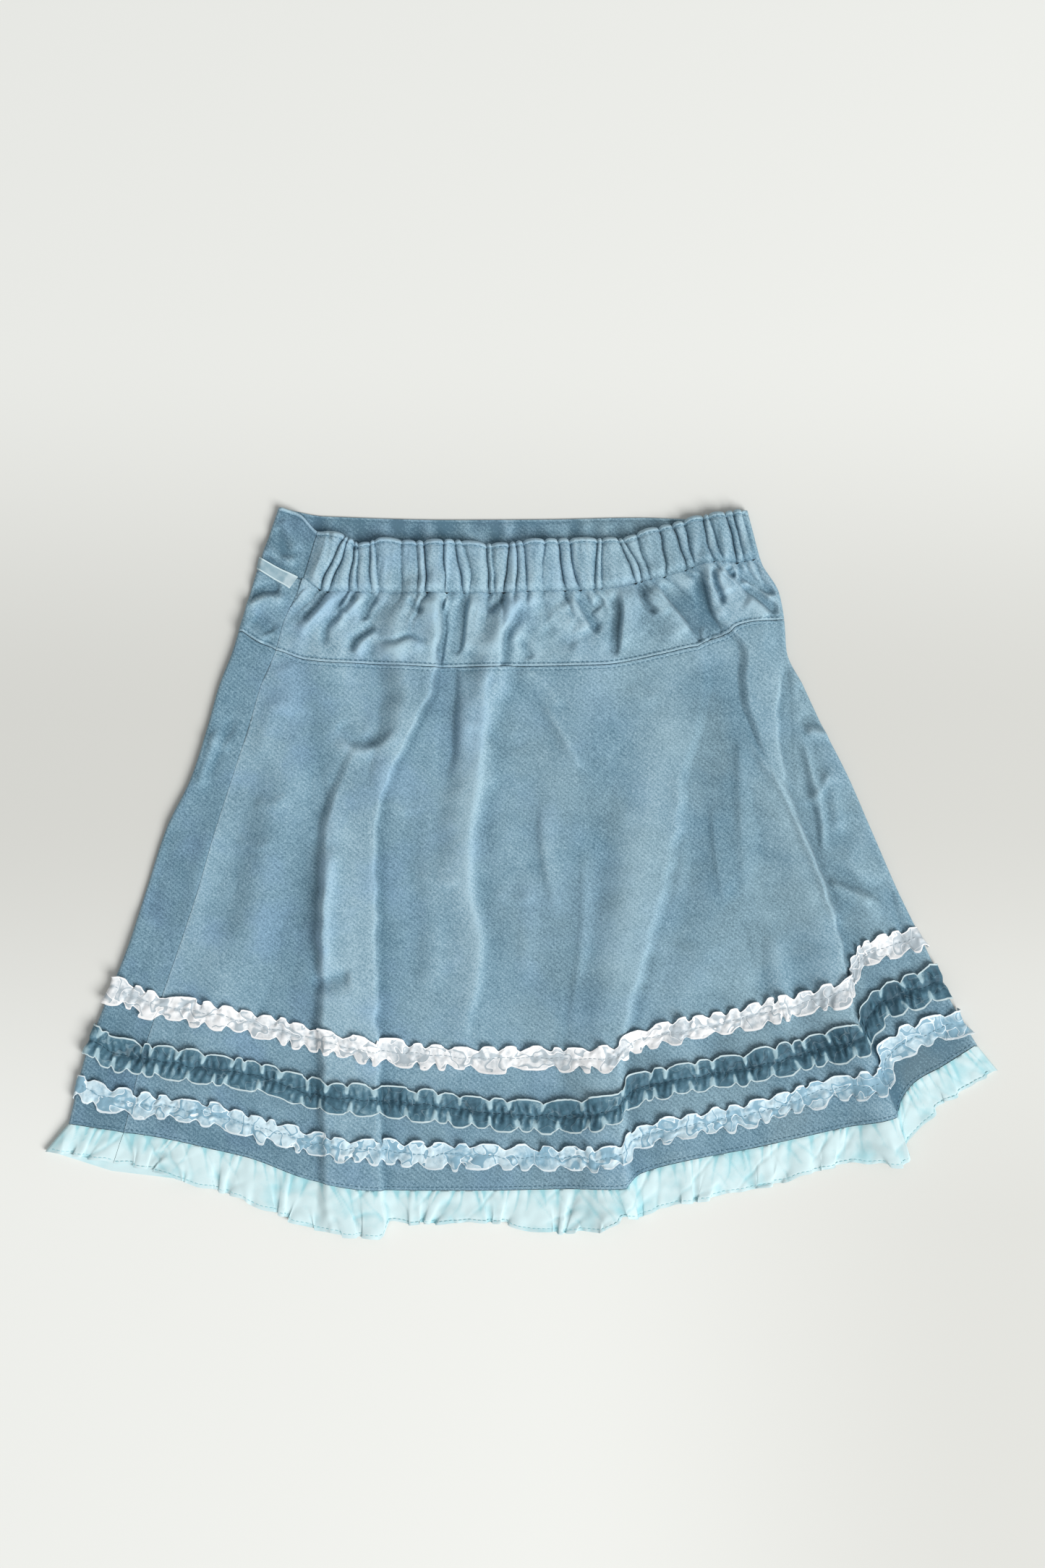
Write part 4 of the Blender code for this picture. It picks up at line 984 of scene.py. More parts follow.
def makePanels(material):
    # Front and back panels from the yoke to the hem: the face above on the upper side, with a
    # low ridge under the yoke's topstitching and a turn down into the side seam, and the
    # pressed underside
    length = panel["length"]
    start, step = panel["middleRows"]
    shares = np.concatenate([panel["topRows"], np.arange(start, length - 3, step),
                             length - np.array(panel["hemRows"])]) / length
    for side, name in (("left", "front_panel"), ("right", "back_panel")):
        top, below = seamPlaces(side, panel["spacing"], -100.0)
        below = np.linspace(below[0], below[-1], panel["underColumns"][side])
        high = upper("yoke", top) - halfGap
        heights = rowsBetween(high, upper("hem", top) + halfGap, shares)
        plan = planOf(top, heights)
        x, y = plan[..., 0], plan[..., 1]
        face = panelFace(x, y) + ridges(high[:, None] - heights, panel["seamRidges"]) + seamDip(top, -60.0)
        face = np.maximum(face, 2 * cloth["panelWall"] + cloth["gap"])
        underHeights = rowsBetween(under("yoke", below) - halfGap, under("hem", below) + halfGap, shares)
        parts = rollHalf(side, plan, face, cloth["panelWall"], (3, 3), planOf(below, underHeights),
                         underFace=underHollow(below, underHeights))
        # Tone: worn nap and painted shade on crests and valleys, painted light and shade over the folds,
        # darker below the white ribbon and towards the right, and painted shade on the front's strip
        tone = wearAndShade(face, panel) + creaseHeight(x, y, napAndShadeRows)
        low, reach = panel["lowTone"]
        tone -= low * ease((upper("white", top)[:, None] - heights) / reach)
        low, start, reach = panel["rightTone"]
        tone -= low * ease((x - start) / reach)
        if side == "left":
            tone += panel["front"]
        else:
            pale, reach = panel["seamTone"]
            tone += pale * bell(x - x[-1:], reach)
        finishHalf(name, parts, tone, material, plan, face)


# Creased yoke: gathers from the casing seam fade out towards the topstitching
yoke = {
    "spacing": 0.62, "rise": 3.4, "reach": 9.5, "climb": 2.2, "valley": 1.7, "lift": 0.7,
    "rows": ((0, 0.12, 9), (0.12, 0.93, 54), (0.93, 1, 9)),     # from, to and count, in shares
    "creaseRise": 1.6, "creaseSpread": 1.35,
    "uneven": ((0.4, 20, 12), (0.22, 8, 13)),
    "seamRidges": ((0.25, 0.5, 0.5), (-0.22, 1.7, 0.4)),
    "wearAndShade": ((0.13, 8, 7), (0.06, 22, 18)), "wearAndShadeRange": (-0.36, 0.32),
    "wobble": (0.8, 12, 33), "mottle": (0.07, 7, 46),
    # Painted light and shade: a highlight on the low ridge by the topstitching and shade in the groove above
    # it, the front darker than the back, and shade in the valleys between the gathers below the casing
    "seamLightAndShade": ((0.34, 0.8, 0.5), (-0.28, 1.9, 0.4)),
    "tone": {"left": -0.2, "right": 0.09},
    "gatherTone": 0.30,
}


def gradedShares(rows):
    # Shares of the way down, evenly spaced between each two of the marks
    parts = [np.linspace(*row)[:-1] for row in rows[:-1]]
    return np.concatenate(parts + [np.linspace(*rows[-1])])


def ribsAt(x, t):
    # The rib of the gathered band that each point lies on, at the share t of the way down: the
    # share across it, its width and the depth of the nearer valley, by a parabola through the
    # three places of each valley
    rows = np.array(ribRows)[:, :, None, None]
    lines = rows[:, 0] * (1 - t) * (1 - 2 * t) + rows[:, 1] * 4 * t * (1 - t) + rows[:, 2] * t * (2 * t - 1)
    lines = np.broadcast_to(lines, (len(ribRows),) + x.shape)
    k = np.clip((x[None] > lines).sum(0) - 1, 0, len(ribRows) - 2)
    left = np.take_along_axis(lines, k[None], 0)[0]
    right = np.take_along_axis(lines, k[None] + 1, 0)[0]
    share = np.clip((x - left) / (right - left), 0, 1)
    return share, right - left, np.where(share < 0.5, rows[k, 3, 0, 0], rows[k + 1, 3, 0, 0])


def yokeFace(x, y, run, down, side):
    # Creases laid over the folds, and on the back a gather from the foot of each rib: rise * (puff - 0.5),
    # which fades as bell(down, length)
    rows = yokeCreaseRows if side == "right" else wrapCreaseRows
    face = foldHeight(x, y) + uneven(x, y, *yoke["uneven"]) + yoke["lift"] * ease(down / 5)
    face += yoke["creaseRise"] * creaseHeight(x, y, rows, yoke["creaseSpread"])
    if side == "left":
        return face, 0 * face + 1
    places, slants = np.array(fanRows).T
    fan = smoothLine(places, slants, np.clip(run, 0, places[-1]))[:, None] * down
    share, wide, depth = ribsAt(x + fan + uneven(x, y, yoke["wobble"]), np.ones(x.shape))
    puff = 1 - depth * np.exp(-np.minimum(share, 1 - share) * wide / yoke["valley"])
    fade = (1 - np.exp(-(down + 0.4) / 1.0)) * bell(down, yoke["reach"] * (0.5 + depth))
    return face + yoke["rise"] * (puff - 0.5) * fade, puff


def makeYokes(material):
    # Front and back yokes from the casing to the topstitching. The back one's upper edge
    # climbs with each gather: climb * (puff - 0.4) * bell(down, 2).
    shares = gradedShares(yoke["rows"])
    for side, name in (("left", "front_yoke"), ("right", "back_yoke")):
        top, below = seamPlaces(side, yoke["spacing"], 150.0)
        high, low = upper("casing", top) - halfGap, upper("yoke", top) + halfGap
        heights = rowsBetween(high, low, shares)
        plan = planOf(top, heights)
        x, y = plan[..., 0], plan[..., 1]
        down, rest = high[:, None] - heights, heights - low[:, None]
        face, puff = yokeFace(x, y, fromSeam(top, 160.0), down, side)
        face += ridges(rest, yoke["seamRidges"]) + seamDip(top, 150.0)
        face = np.maximum(face, 2 * cloth["panelWall"] + cloth["gap"])
        if side == "right":
            plan[..., 1] += yoke["climb"] * (puff - 0.4) * bell(down, 2.0)
        underHeights = rowsBetween(under("casing", below) - halfGap, under("yoke", below) + halfGap, shares)
        parts = rollHalf(side, plan, face, cloth["panelWall"], (4, 4), planOf(below, underHeights))
        # Tone: worn nap and painted shade on crests and valleys, painted light and shade at the topstitching,
        # in the gathers' valleys and over the folds, and random mottling
        tone = wearAndShade(face, yoke) + yoke["tone"][side] + ridges(rest, yoke["seamLightAndShade"])
        tone -= yoke["gatherTone"] * np.clip(1 - puff, 0, 1) * bell(down, 1.2)
        tone += creaseHeight(x, y, yokeNapAndShadeRows) + uneven(x, y, yoke["mottle"])
        finishHalf(name, parts, tone, material, plan, face)


# Waistband: plain in front, drawn up on its elastic behind
band = {
    "rise": 2.8, "valley": 1.2, "round": 0.35, "scallop": 1.8, "stitchDown": 2.2,
    "spacing": {"left": 1.0, "right": 0.5}, "middleRows": {"left": 26, "right": 34},
    "topRidge": ((0.6, 0.9, 0.8),),             # the rolled top edge
    "frontRidges": ((0.8, 0.9, 0.7), (-0.5, 2.2, 0.5)), "frontCrease": 1.6,
    "wobble": (0.45, 15, 61), "rough": (0.2, 16, 40), "mottle": (0.15, 6, 44),
    "fine": (0.16, 2.6, 77), "soft": (0.45, 13, 78), "stitchDip": 0.6,
    "wearAndShade": ((0.2, 8, 5),), "wearAndShadeRange": (-0.5, 0.2),
    # Painted light and shade: the front half darker, a highlight on the rolled top edge, and shade at the
    # foot by the casing seam and in the stitch groove; darker towards the right
    "tone": {"left": -0.34, "right": 0.10}, "topHighlight": {"left": 0.8, "right": 0.55},
    "footShade": 0.2, "stitchGrooveShade": 0.34, "rightTone": (0.22, 55, 30),
}

# The band's inner face, which shows above the elastic edge: soft folds, a seam below its top and the end of
# the band at one place. Its tone is painted shade under the elastic edge, with painted light and shade on the
# folds, a painted highlight at its top and painted shade in the seam and at the band's end
bandInside = {
    "fold": 1.0, "foldSize": 8, "foldSeed": 90, "seam": 0.35, "endAt": 47.6, "end": 0.4,
    "tone": -0.34, "foldShading": 0.34, "topHighlight": 0.5, "seamTone": 0.25, "endShade": 0.3,
}

# The band's corner at the left, where its first ribs fan out from a knob
knobRows = (
    (2.6, 3.5, 3.0, ((-108, 186.5), (-102, 185.5), (-97, 183), (-95, 179))),
    (1.4, 3.0, 3.0, ((-100, 184), (-102, 178), (-106, 171))),
    (-1.6, 1.3, 1.3, ((-95.5, 183), (-94, 180), (-92, 178))),
)

# How far a gather under the casing moves left for each mm down, by its place along the seam
fanRows = ((0, 0.8), (25, 0.8), (55, 0.5), (85, 0.25), (125, 0.0),
           (150, -0.3), (178, -0.8), (205, -1.0), (235, -0.8), (262, -0.4))


def gatherBand(face, plan, top, shares, down, rest):
    # Adds the ribs of the gathered band to its face and plan: each is rise * ridge, where
    # ridge = 1 - depth * exp(-distance from the valley / width) + a round top, lower at the
    # foot and eased at both ends
    x, y = plan[..., 0].copy(), plan[..., 1].copy()
    run = fromSeam(top, 175.0)[:, None]
    wobble = uneven(0.3 * x, y, band["wobble"])
    share, wide, depth = ribsAt(x + wobble, np.broadcast_to(shares[None], x.shape))
    valley = depth * np.exp(-np.minimum(share, 1 - share) * wide / band["valley"])
    ridge = 1 - valley + band["round"] * np.sin(np.pi * share) - 0.15
    ends = np.clip(np.minimum(run / 6, (run.max() - run) / 3), 0, 1)
    foot = 0.45 + 0.55 * ease(rest / 4.5)
    head = np.sqrt(np.clip(down / 1.6, 0.10, 1))
    face += 0.6 + band["rise"] * ridge * ends * foot * head + ridges(down, band["topRidge"])
    face -= band["stitchDip"] * bell(down - band["stitchDown"] - 0.3, 0.5)
    face += (uneven(run, 0.15 * down, band["fine"]) + uneven(run, 0.8 * down, band["soft"])) * ends
    plan[..., 0] -= 0.12 * np.minimum(wide, 5) * depth * np.sin(2 * np.pi * share) * ends * foot
    plan[..., 1] += band["scallop"] * (ridge - 0.5) * ends * bell(down, 3)


def insideOfBand(underPlan, depth):
    # Height and tone of the band's inner face: fold * noise below the top edge, a seam 1.5 mm down and a dip
    # where the band ends. The tone is painted shade, lighter and darker with the folds, lighter at the top
    # edge and darker in the seam and the dip
    x, y = underPlan[..., 0], underPlan[..., 1]
    fold = softNoise(x, 0.2 * y, bandInside["foldSize"], bandInside["foldSeed"])
    height = cloth["bandWall"] + bandInside["fold"] * fold * ease(depth / 5) - 0.7
    height -= bandInside["seam"] * bell(depth - 1.5, 0.4) + 0.45 * np.clip(1 - depth / 0.9, 0, 1)
    height -= bandInside["end"] * bell(x - bandInside["endAt"], 0.7)
    tone = bandInside["tone"] + bandInside["foldShading"] * fold + bandInside["topHighlight"] * bell(depth, 0.9)
    tone -= bandInside["seamTone"] * bell(depth - 1.6, 0.4)
    tone -= bandInside["endShade"] * bell(x - bandInside["endAt"], 0.6)
    return np.maximum(height, 0.5), tone


def makeBands(material):
    # Front and back halves of the waistband, from the waist to the casing seam, which slant
    # with the skirt's sides
    for side, name in (("left", "front_waistband"), ("right", "back_waistband")):
        top, below = seamPlaces(side, band["spacing"][side], 175.0)
        shares = gradedShares(((0, 0.14, 8), (0.14, 0.88, band["middleRows"][side]), (0.88, 1, 6)))
        high, low = upper("waist", top), upper("casing", top) + halfGap
        highPlan, lowPlan = planOf(top, high[:, None])[:, 0], planOf(top, low[:, None])[:, 0]
        plan = highPlan[:, None] + (lowPlan - highPlan)[:, None] * shares[None, :, None]
        x, y = plan[..., 0].copy(), plan[..., 1].copy()
        down, rest = high[:, None] - y, y - low[:, None]
        face = foldHeight(x, y) + uneven(x, y, band["rough"])
        step, inside, belowTone = (4, 3), None, None
        if side == "right":
            gatherBand(face, plan, top, shares, down, rest)
        else:
            face += cloth["gap"] + band["frontCrease"] * creaseHeight(x, y, wrapCreaseRows)
            face += ridges(down, band["frontRidges"])
            step, below = (1, 1), spreadPlaces(0, cloth["underSeam"] - 0.004, 1.6, 195.0)
        face = np.maximum(face + creaseHeight(x, y, knobRows), 2 * cloth["bandWall"] + cloth["gap"])
        underHeights = rowsBetween(under("waist", below), under("casing", below) + cloth["gap"], shares)
        underPlan = planOf(below, underHeights)
        if side == "left":
            inside, belowTone = insideOfBand(underPlan, underHeights[:, :1] - underHeights)
        parts = rollHalf(side, plan, face, cloth["bandWall"], step, underPlan, inside)
        # Tone: worn nap and painted shade on crests and valleys, the front darker with painted shade, a
        # painted highlight on the top edge, painted shade at the foot and in the stitch groove, random
        # mottling, darker towards the right
        tone = wearAndShade(face, band) + band["tone"][side]
        tone += band["topHighlight"][side] * bell(down, 1.6) - band["footShade"] * bell(rest, 0.9)
        low, start, reach = band["rightTone"]
        tone += uneven(x, 0.15 * y, band["mottle"]) - low * ease((x - start) / reach)
        tone -= band["stitchGrooveShade"] * bell(down - band["stitchDown"], 0.4)
        finishHalf(name, parts, tone, material, plan, face,
                   belowTone)


# What the three ribbons share: the grid, and how each runs unevenly
strip = {
    "columns": 17, "underColumns": 9,
    "rollPoints": 9, "rollAngles": (75, -25),       # round each side edge of the skirt
    # mm along the run, and what is added to the ribbon's seed
    "bend": (22, 7), "falls": (26, 60), "drift": (19, 80), "turned": (17, 110), "wander": (12, 90),
    "curlFrom": 0.55,           # shares of the way out to the edge
    "insideAt": 0.48, "insideOver": 0.24,
    "ends": (3, 0.3),           # it is flatter in the last mm at each end, to this share
    "foot": 0.35, "fray": 0.12,
}


def ribbonBase(line, halfWidth, spacing, across):
    # The bare panel under a ribbon, and the way out of it, round both rolled edges
    places = spreadPlaces(0, 6, spacing, float(upper(line, np.array([3.0]))[0]))
    plan = planOf(places, upper(line, places)[:, None] + halfWidth * across)
    top = np.dstack([plan, panelFace(plan[..., 0], plan[..., 1])])
    angles = np.radians(np.linspace(*strip["rollAngles"], strip["rollPoints"]))[:, None]
    left, right = rollRound(top[0], 1, angles), rollRound(top[-1], -1, angles)
    outLeft, outRight = (
        np.broadcast_to(np.dstack([-toward * np.cos(angles), 0 * angles, np.sin(angles)]), left.shape)
        for toward in (1, -1))
    outTop = np.broadcast_to([0.0, 0.0, 1.0], top.shape)
    return np.concatenate([left[::-1], top, right]), np.concatenate([outLeft[::-1], outTop, outRight])


def ribbonEdge(run, v, ribbon, edge):
    # One gathered edge of a ribbon, at shares v of the way out to it: lift = rise * top * v ** cup, the share
    # that gets painted shade inside its loops, the push along the run, the reach outwards, and the valleys
    # between its gathers. Here and there it rolls back along an arc of bends * length.
    seed = ribbon["seed"] + edge
    (bendSize, bendSeed), (turnSize, turnSeed) = strip["bend"], strip["turned"]
    bend = 1.2 * softNoise(run, 9 * v, bendSize, seed + bendSeed)
    share, strength, wide = lobes(run + bend, ribbon["waves"], seed)
    top = strength * lobeTop(share, ribbon["flatness"])
    arch = strength * lobeTop(share, ribbon["archPower"])
    falls, drift = (noiseAlong(run, size, seed + more) for size, more in (strip["falls"], strip["drift"]))
    falls = np.tanh(3 * falls)
    inner = (2 * strength - 0.7) * lobeTop(share, 1.0) * bell(v - strip["insideAt"], strip["insideOver"])
    along = overhang(share, wide, ribbon["lean"]) * v ** 1.3 + ribbon["sway"] * falls * wide * top * v ** 1.4
    reach = (ribbon["reach"] * (arch - 0.65) + 0.5 * drift) * v ** 1.2
    valley = bell(np.minimum(share, 1 - share) * wide, ribbon["notch"] * (0.45 + 0.6 * v))
    turned = ease((noiseAlong(run, turnSize, ribbon["seed"] + turnSeed) - 0.1) / 0.5)
    bends = ribbon["curl"] * 0.95 * (arch if edge == 0 else 0.3 * arch) * turned + 1e-3
    length = np.maximum(v - strip["curlFrom"], 0) * ribbon["width"] / 2
    reach = reach + np.sin(bends * length) / bends - length
    lift = ribbon["rise"] * top * v ** ribbon["cup"] + 0.8 * (1 - np.cos(bends * length)) / bends
    return lift, inner, along, reach, valley


def makeRibbon(name, line, ribbon, material):
    # A ribbon stitched down along its middle in small pleats, whose two edges stand up in
    # their own flat-topped gathers, wider than their foot
    across = np.linspace(-1, 1, strip["columns"])[None]
    base, out = ribbonBase(line, ribbon["width"] / 2, ribbon["spacing"], across)
    run = runAlong(base[:, strip["columns"] // 2])[:, None]
    flatOver, flatTo = strip["ends"]
    ends = np.clip(np.minimum(run, run[-1] - run) / flatOver, flatTo, 1)
    v = np.abs(across)
    lift, inner, along, reach, valley = (
        np.where(across > 0, *both) for both in zip(*(ribbonEdge(run, v, ribbon, edge) for edge in (0, 1))))
    seed = ribbon["seed"]
    pleats = softNoise(run, 4 * v, ribbon["pleat"], seed + 40)
    lift = lift + strip["foot"] + ribbon["pleatRise"] * (1 + 1.4 * pleats) * bell(v - 0.3, 0.3)
    lift = lift + ribbon["pinch"] * valley * ease((v - 0.3) / 0.3)
    crinkle = bell(softNoise(run, 6 * across, 9, seed + 70), 0.12)
    lift = lift - ribbon["crinkle"] * crinkle
    fray = strip["fray"] * softNoise(run, across * 3, 3.0, seed + 50)
    wanderSize, wanderSeed = strip["wander"]
    wander = ribbon["wander"] * noiseAlong(run, wanderSize, seed + wanderSeed)
    points = base + out * (cloth["gap"] + ribbon["wall"] + lift * ends)[..., None]
    points[..., 0] += along * ends
    points[..., 1] += np.sign(across) * (reach + fray * v ** 2) + wander * (1 - v ** 2)
    turn = np.cross(np.gradient(points, axis=0), np.gradient(points, axis=1))
    turn = turn / np.maximum(np.linalg.norm(turn, axis=-1, keepdims=True), 1e-9)
    turn = turn * np.sign((turn * out).sum())
    # Tone: painted light and shade on the pleats and at the valleys between gathers, painted shade in the
    # hollow middle, inside the loops, along the crinkles and along the gathered middle; random patches, and
    # darker towards the right
    tone = ribbon["pleatShading"] * pleats * (1 - v ** 2)
    tone = tone + ribbon["valleyShading"] * valley * ease((v - 0.15) / 0.3)
    tone = tone - ribbon["hollow"] * bell(v, 0.42) - ribbon["inside"] * inner
    tone = tone - 0.5 * ribbon["crinkle"] * crinkle - 0.15 * ease((base[..., 0] - 60) / 130)
    tone = tone + ribbon["patches"] * softNoise(run, 3 * across, 28, seed + 33)
    tone = tone - 0.16 * bell(v, 0.14) * (1 + 3.0 * pleats)
    piece = makeStrip(name + "_ruffle_cloth", points, points - ribbon["wall"] * turn, across,
                      np.clip(tone, -0.7, 0.7), material)
    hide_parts(name + "_ruffle")
    rowsOf[name + "_ruffle"] = points
    print(name, "ribbon made:", 2 * len(piece.data.polygons), "triangles")


# The ribbons underneath: the places they run between, mm off the table and seeds as above
pressed = {"from": 0.03, "to": 5.97, "spacing": 1.0, "wall": 0.3, "rest": 0.08, "rise": (0.07, 5, 42),
           "mottle": (0.2, 4, 41), "gatherTone": 0.5}


def makeUnderRibbon(name, line, ribbon, material):
    # The same ribbon underneath, pressed flat between the skirt and the table: a strip with
    # the same gathered outline
    across = np.linspace(-1, 1, strip["underColumns"])[None]
    places = spreadPlaces(pressed["from"], pressed["to"], pressed["spacing"], -100.0)
    plan = planOf(places, underLine(line, places)[:, None] + ribbon["width"] / 2 * across)
    run = runAlong(plan[:, strip["underColumns"] // 2])[:, None]
    v = np.abs(across)
    gain, size, seed = pressed["mottle"]
    tone = gain * softNoise(run, 4 * across, size, ribbon["seed"] + seed)
    for part, seed in ((across > 0, 2), (across <= 0, 3)):
        share, strength, _ = lobes(run + 0 * v, ribbon["waves"], ribbon["seed"] + seed)
        arch = strength * lobeTop(share, ribbon["archPower"])
        plan[..., 1] += np.where(part, np.sign(across) * ribbon["reach"] * (arch - 0.6) * v ** 1.2, 0)
        tone = tone + np.where(part, pressed["gatherTone"] * (arch - 0.6) * v, 0)
    gain, size, seed = pressed["rise"]
    height = pressed["rest"] + gain * softNoise(run, across * 6, size, ribbon["seed"] + seed)
    points = np.dstack([plan, np.maximum(height, 0)])
    piece = makeStrip(name + "_ruffle_underside_cloth", points, points + [0, 0, pressed["wall"]], across,
                      tone, material)
    print(name, "ribbon's underside made:", 2 * len(piece.data.polygons), "triangles")


# Hem frill: gathered into the hem seam, its folds opening out to the narrow hem
frill = {
    "spacing": 0.7, "rows": ((0, 0.86, 19), (0.86, 1, 8)),
    "widths": (10.0, 30.0), "pleats": (3.0, 9.0),       # mm along one fold and one small pleat
    "seed": 66, "rise": 1.9, "pleatRise": 0.6, "lean": 0.5,
    "sharpFrom": 0.86,          # folds stronger than this have a narrow crest
    "hemDown": 1.9,             # mm from the edge to the stitched hem
    "cornerLean": 42.0, "cornerAt": 252, "cornerPower": 6,      # degrees outwards at each corner
    "crossings": ((0.9, 0.45, 19, 81), (-0.7, 0.5, 25, 82)),    # turn, bend, size and seed
    "crossingDepth": 0.45,
    # height or slant in mm, size along the run in mm and seed
    "slant": (5.0, 70, 71), "drift": (0.6, 38, 72), "ripple": (0.5, 7, 78), "rough": (0.12, 9, 73),
    "edge": (0.8, 11, 74), "patches": (0.12, 24, 79),
    "droop": 0.8, "hemDip": 0.15, "hemDipOver": 0.35,
    "wearAndShade": ((0.26, 5, 4),), "wearAndShadeRange": (-0.5, 0.2),
    # Painted shade: along the thin creases, at the seam between the small pleats and in the pleats' valleys
    # below it
    "creaseShade": 0.10, "seamTone": 0.35, "pleatShading": 0.42, "tone": 0.04,
}


def frillPlan(start, depth, shares):
    # Straight down from the hem seam, turned outwards by lean * (x / cornerAt) ** power
    lean = np.radians(frill["cornerLean"]) * np.sign(start[:, 0])
    lean = lean * (np.abs(start[:, 0]) / frill["cornerAt"]) ** frill["cornerPower"]
    reach = depth * shares
    return np.dstack([start[:, :1] + reach * np.sin(lean)[:, None],
                      start[:, 1:] - reach * np.cos(lean)[:, None]])


def frillCreases(run, down):
    # Thin creases where two smooth noises cross zero: bell(noise, 0.14), stronger here and
    # there along the run
    return sum(bell(softNoise(run + turn * down, bend * down, size, seed), 0.14)
               * np.clip(0.5 + noiseAlong(run, 34, seed + 4), 0, 1)
               for turn, bend, size, seed in frill["crossings"])


def makeFrills(material):
    # Front and back frills: height = rise * fold * share ** 0.8, with small pleats that fade
    # out below the seam, an unevenness, a dip at the stitched hem and the thin creases
    shares = gradedShares(frill["rows"])[None]
    for side, name in (("left", "front_hem_frill"), ("right", "back_hem_frill")):
        top, below = seamPlaces(side, frill["spacing"], -165.0)
        depth = upper("frill", top)[:, None]
        plan = frillPlan(planOf(top, (upper("hem", top) - halfGap)[:, None])[:, 0], depth, shares)
        run = xAt(top, np.full(len(top), -165.0))[:, None] + 300
        down = depth * shares
        slant = uneven(run, 0.6 * down, frill["slant"]) * shares
        slant = slant + uneven(run, 0 * run, frill["drift"]) * down
        share, strength, wide = lobes(run + slant, frill["widths"], frill["seed"])
        small, firm, _ = lobes(run + 0.6 * slant, frill["pleats"], frill["seed"] + 3)
        fold = strength * np.where(strength > frill["sharpFrom"], lobeTop(share, 0.6), lobeTop(share, 1.1))
        pleat = firm * lobeTop(small, 0.7)
        deep = np.clip(firm - 0.55, 0, 1) * 14
        ends = np.clip(np.abs(top - (0 if side == "left" else 6)) / 0.08, 0, 1)[:, None]
        relief = frill["rise"] * fold * shares ** 0.8
        starts = 1 - np.exp(-(down + 0.4) / 0.8)
        relief = relief + frill["pleatRise"] * pleat * starts * bell(down, 1.5 + deep)
        relief = relief + uneven(run + 2 * slant, 0.35 * down, frill["ripple"]) * shares
        relief = relief - frill["hemDip"] * bell(depth - down - frill["hemDown"], frill["hemDipOver"])
        creases = frillCreases(run, down)
        relief = relief - frill["crossingDepth"] * creases
        x, y = plan[..., 0], plan[..., 1]
        face = foldHeight(x, y) + relief * ends + uneven(x, y, frill["rough"])
        face = np.maximum(face - frill["droop"] * shares, 2 * cloth["frillWall"] + cloth["gap"])
        x += overhang(share, wide, frill["lean"]) * ends * shares ** 1.2
        y -= (1.2 * (fold - 0.6) + uneven(run, 0 * run, frill["edge"])) * shares ** 2
        underStart = planOf(below, (under("hem", below) - halfGap)[:, None])[:, 0]
        parts = rollHalf(side, plan, face, cloth["frillWall"], (4, 3),
                         frillPlan(underStart, under("frill", below)[:, None], shares))
        # Tone: worn nap and painted shade on crests and valleys, random patches, and painted shade in the
        # creases, at the seam and in the pleats' valleys
        tone = wearAndShade(face, frill, uneven(x, y, frill["patches"])) - frill["creaseShade"] * creases
        tone = tone - frill["seamTone"] * (1 - pleat) * bell(down, 2.0) + frill["tone"]
        tone = tone - frill["pleatShading"] * np.clip(1 - 4 * pleat, 0, 1) * bell(down, 4 + 1.6 * deep)
        finishHalf(name, parts, tone, material, plan, face)


# Narrow velvet ribbon end caught at the left of the band, with a satin back that shows at
# its cut end
tab = {
    "places": (0.02, 0.93, 40), "columns": 11, "width": 6.5, "wall": 0.4,
    "rise": 5.8, "fall": 8.4,           # mm above the casing at the edge, and how far it slopes
    "left": 4.6, "slide": 2.2,          # mm that it is pushed left, and back towards its end
    "turn": 1.2,                        # mm that its cut end slants
    "over": 0.6, "lift": 0.6, "edgeFrom": 0.85, "edgeRise": 0.12,
    "rough": (0.22, 12, 95), "tone": -0.22, "patches": (0.25, 5, 96),
    "satinFrom": 0.70, "satin": 0.45,
}


def makeTab(material):
    # A strip that follows the folds, hangs over the left edge and thins to half where it does
    places = np.linspace(*tab["places"])
    across = np.linspace(1, -1, tab["columns"])[None]
    centre = upper("casing", places) + tab["rise"] - tab["fall"] * places
    plan = planOf(places, centre[:, None] + tab["width"] / 2 * across)
    plan[..., 0] += tab["turn"] * across * places[:, None] ** 3 - tab["left"] + tab["slide"] * places[:, None]
    x, y = plan[..., 0], plan[..., 1]
    x[:] = np.maximum(x, cutLine("leftEdge", y) - tab["over"])
    face = foldHeight(x, y) + cloth["gap"] + tab["lift"] + uneven(x, y, tab["rough"])
    face = np.maximum(face, 2 * cloth["bandWall"] + 2 * tab["lift"])
    face += tab["edgeRise"] * (np.abs(across) > tab["edgeFrom"])
    past = np.clip((cutLine("leftEdge", y) + cloth["edgeRoll"] - x) / cloth["edgeRoll"], 0, 1)
    face = face * (1 + np.sqrt(1 - past ** 2)) / 2
    points = np.dstack([plan, face])
    tone = tab["tone"] + uneven(x, y, tab["patches"])
    tone = tone + tab["satin"] * ease((places[:, None] - tab["satinFrom"]) / 0.04)
    piece = makeStrip("waist_ribbon_cloth", points, points - [0, 0, tab["wall"]], across, tone, material)
    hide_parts("waist_ribbon")
    return piece


# Topstitching in spun polyester thread, a shade darker than the cloth, so that each stitch
# shows as a small matt bar: mm from stitch to stitch, its length and half its width, and how
# thick it is at shares of its length
thread = {
    "pitch": 2.7, "length": 2.0, "radius": 0.2, "sides": 6, "lift": 0.12, "sink": 0.2,
    "taper": ((0.0, 0.3), (0.25, 1.0), (0.75, 1.0), (1.0, 0.3)),
}


def threadMaterial(name, colour):
    material = newMaterial(name)
    shader = addNode(material, "BsdfPrincipled", None, {
        "Base Color": toLinear(colour), "Roughness": 0.7, "Specular IOR Level": 0.2})
    addNode(material, "OutputMaterial", None, {"Surface": shader})
    return material


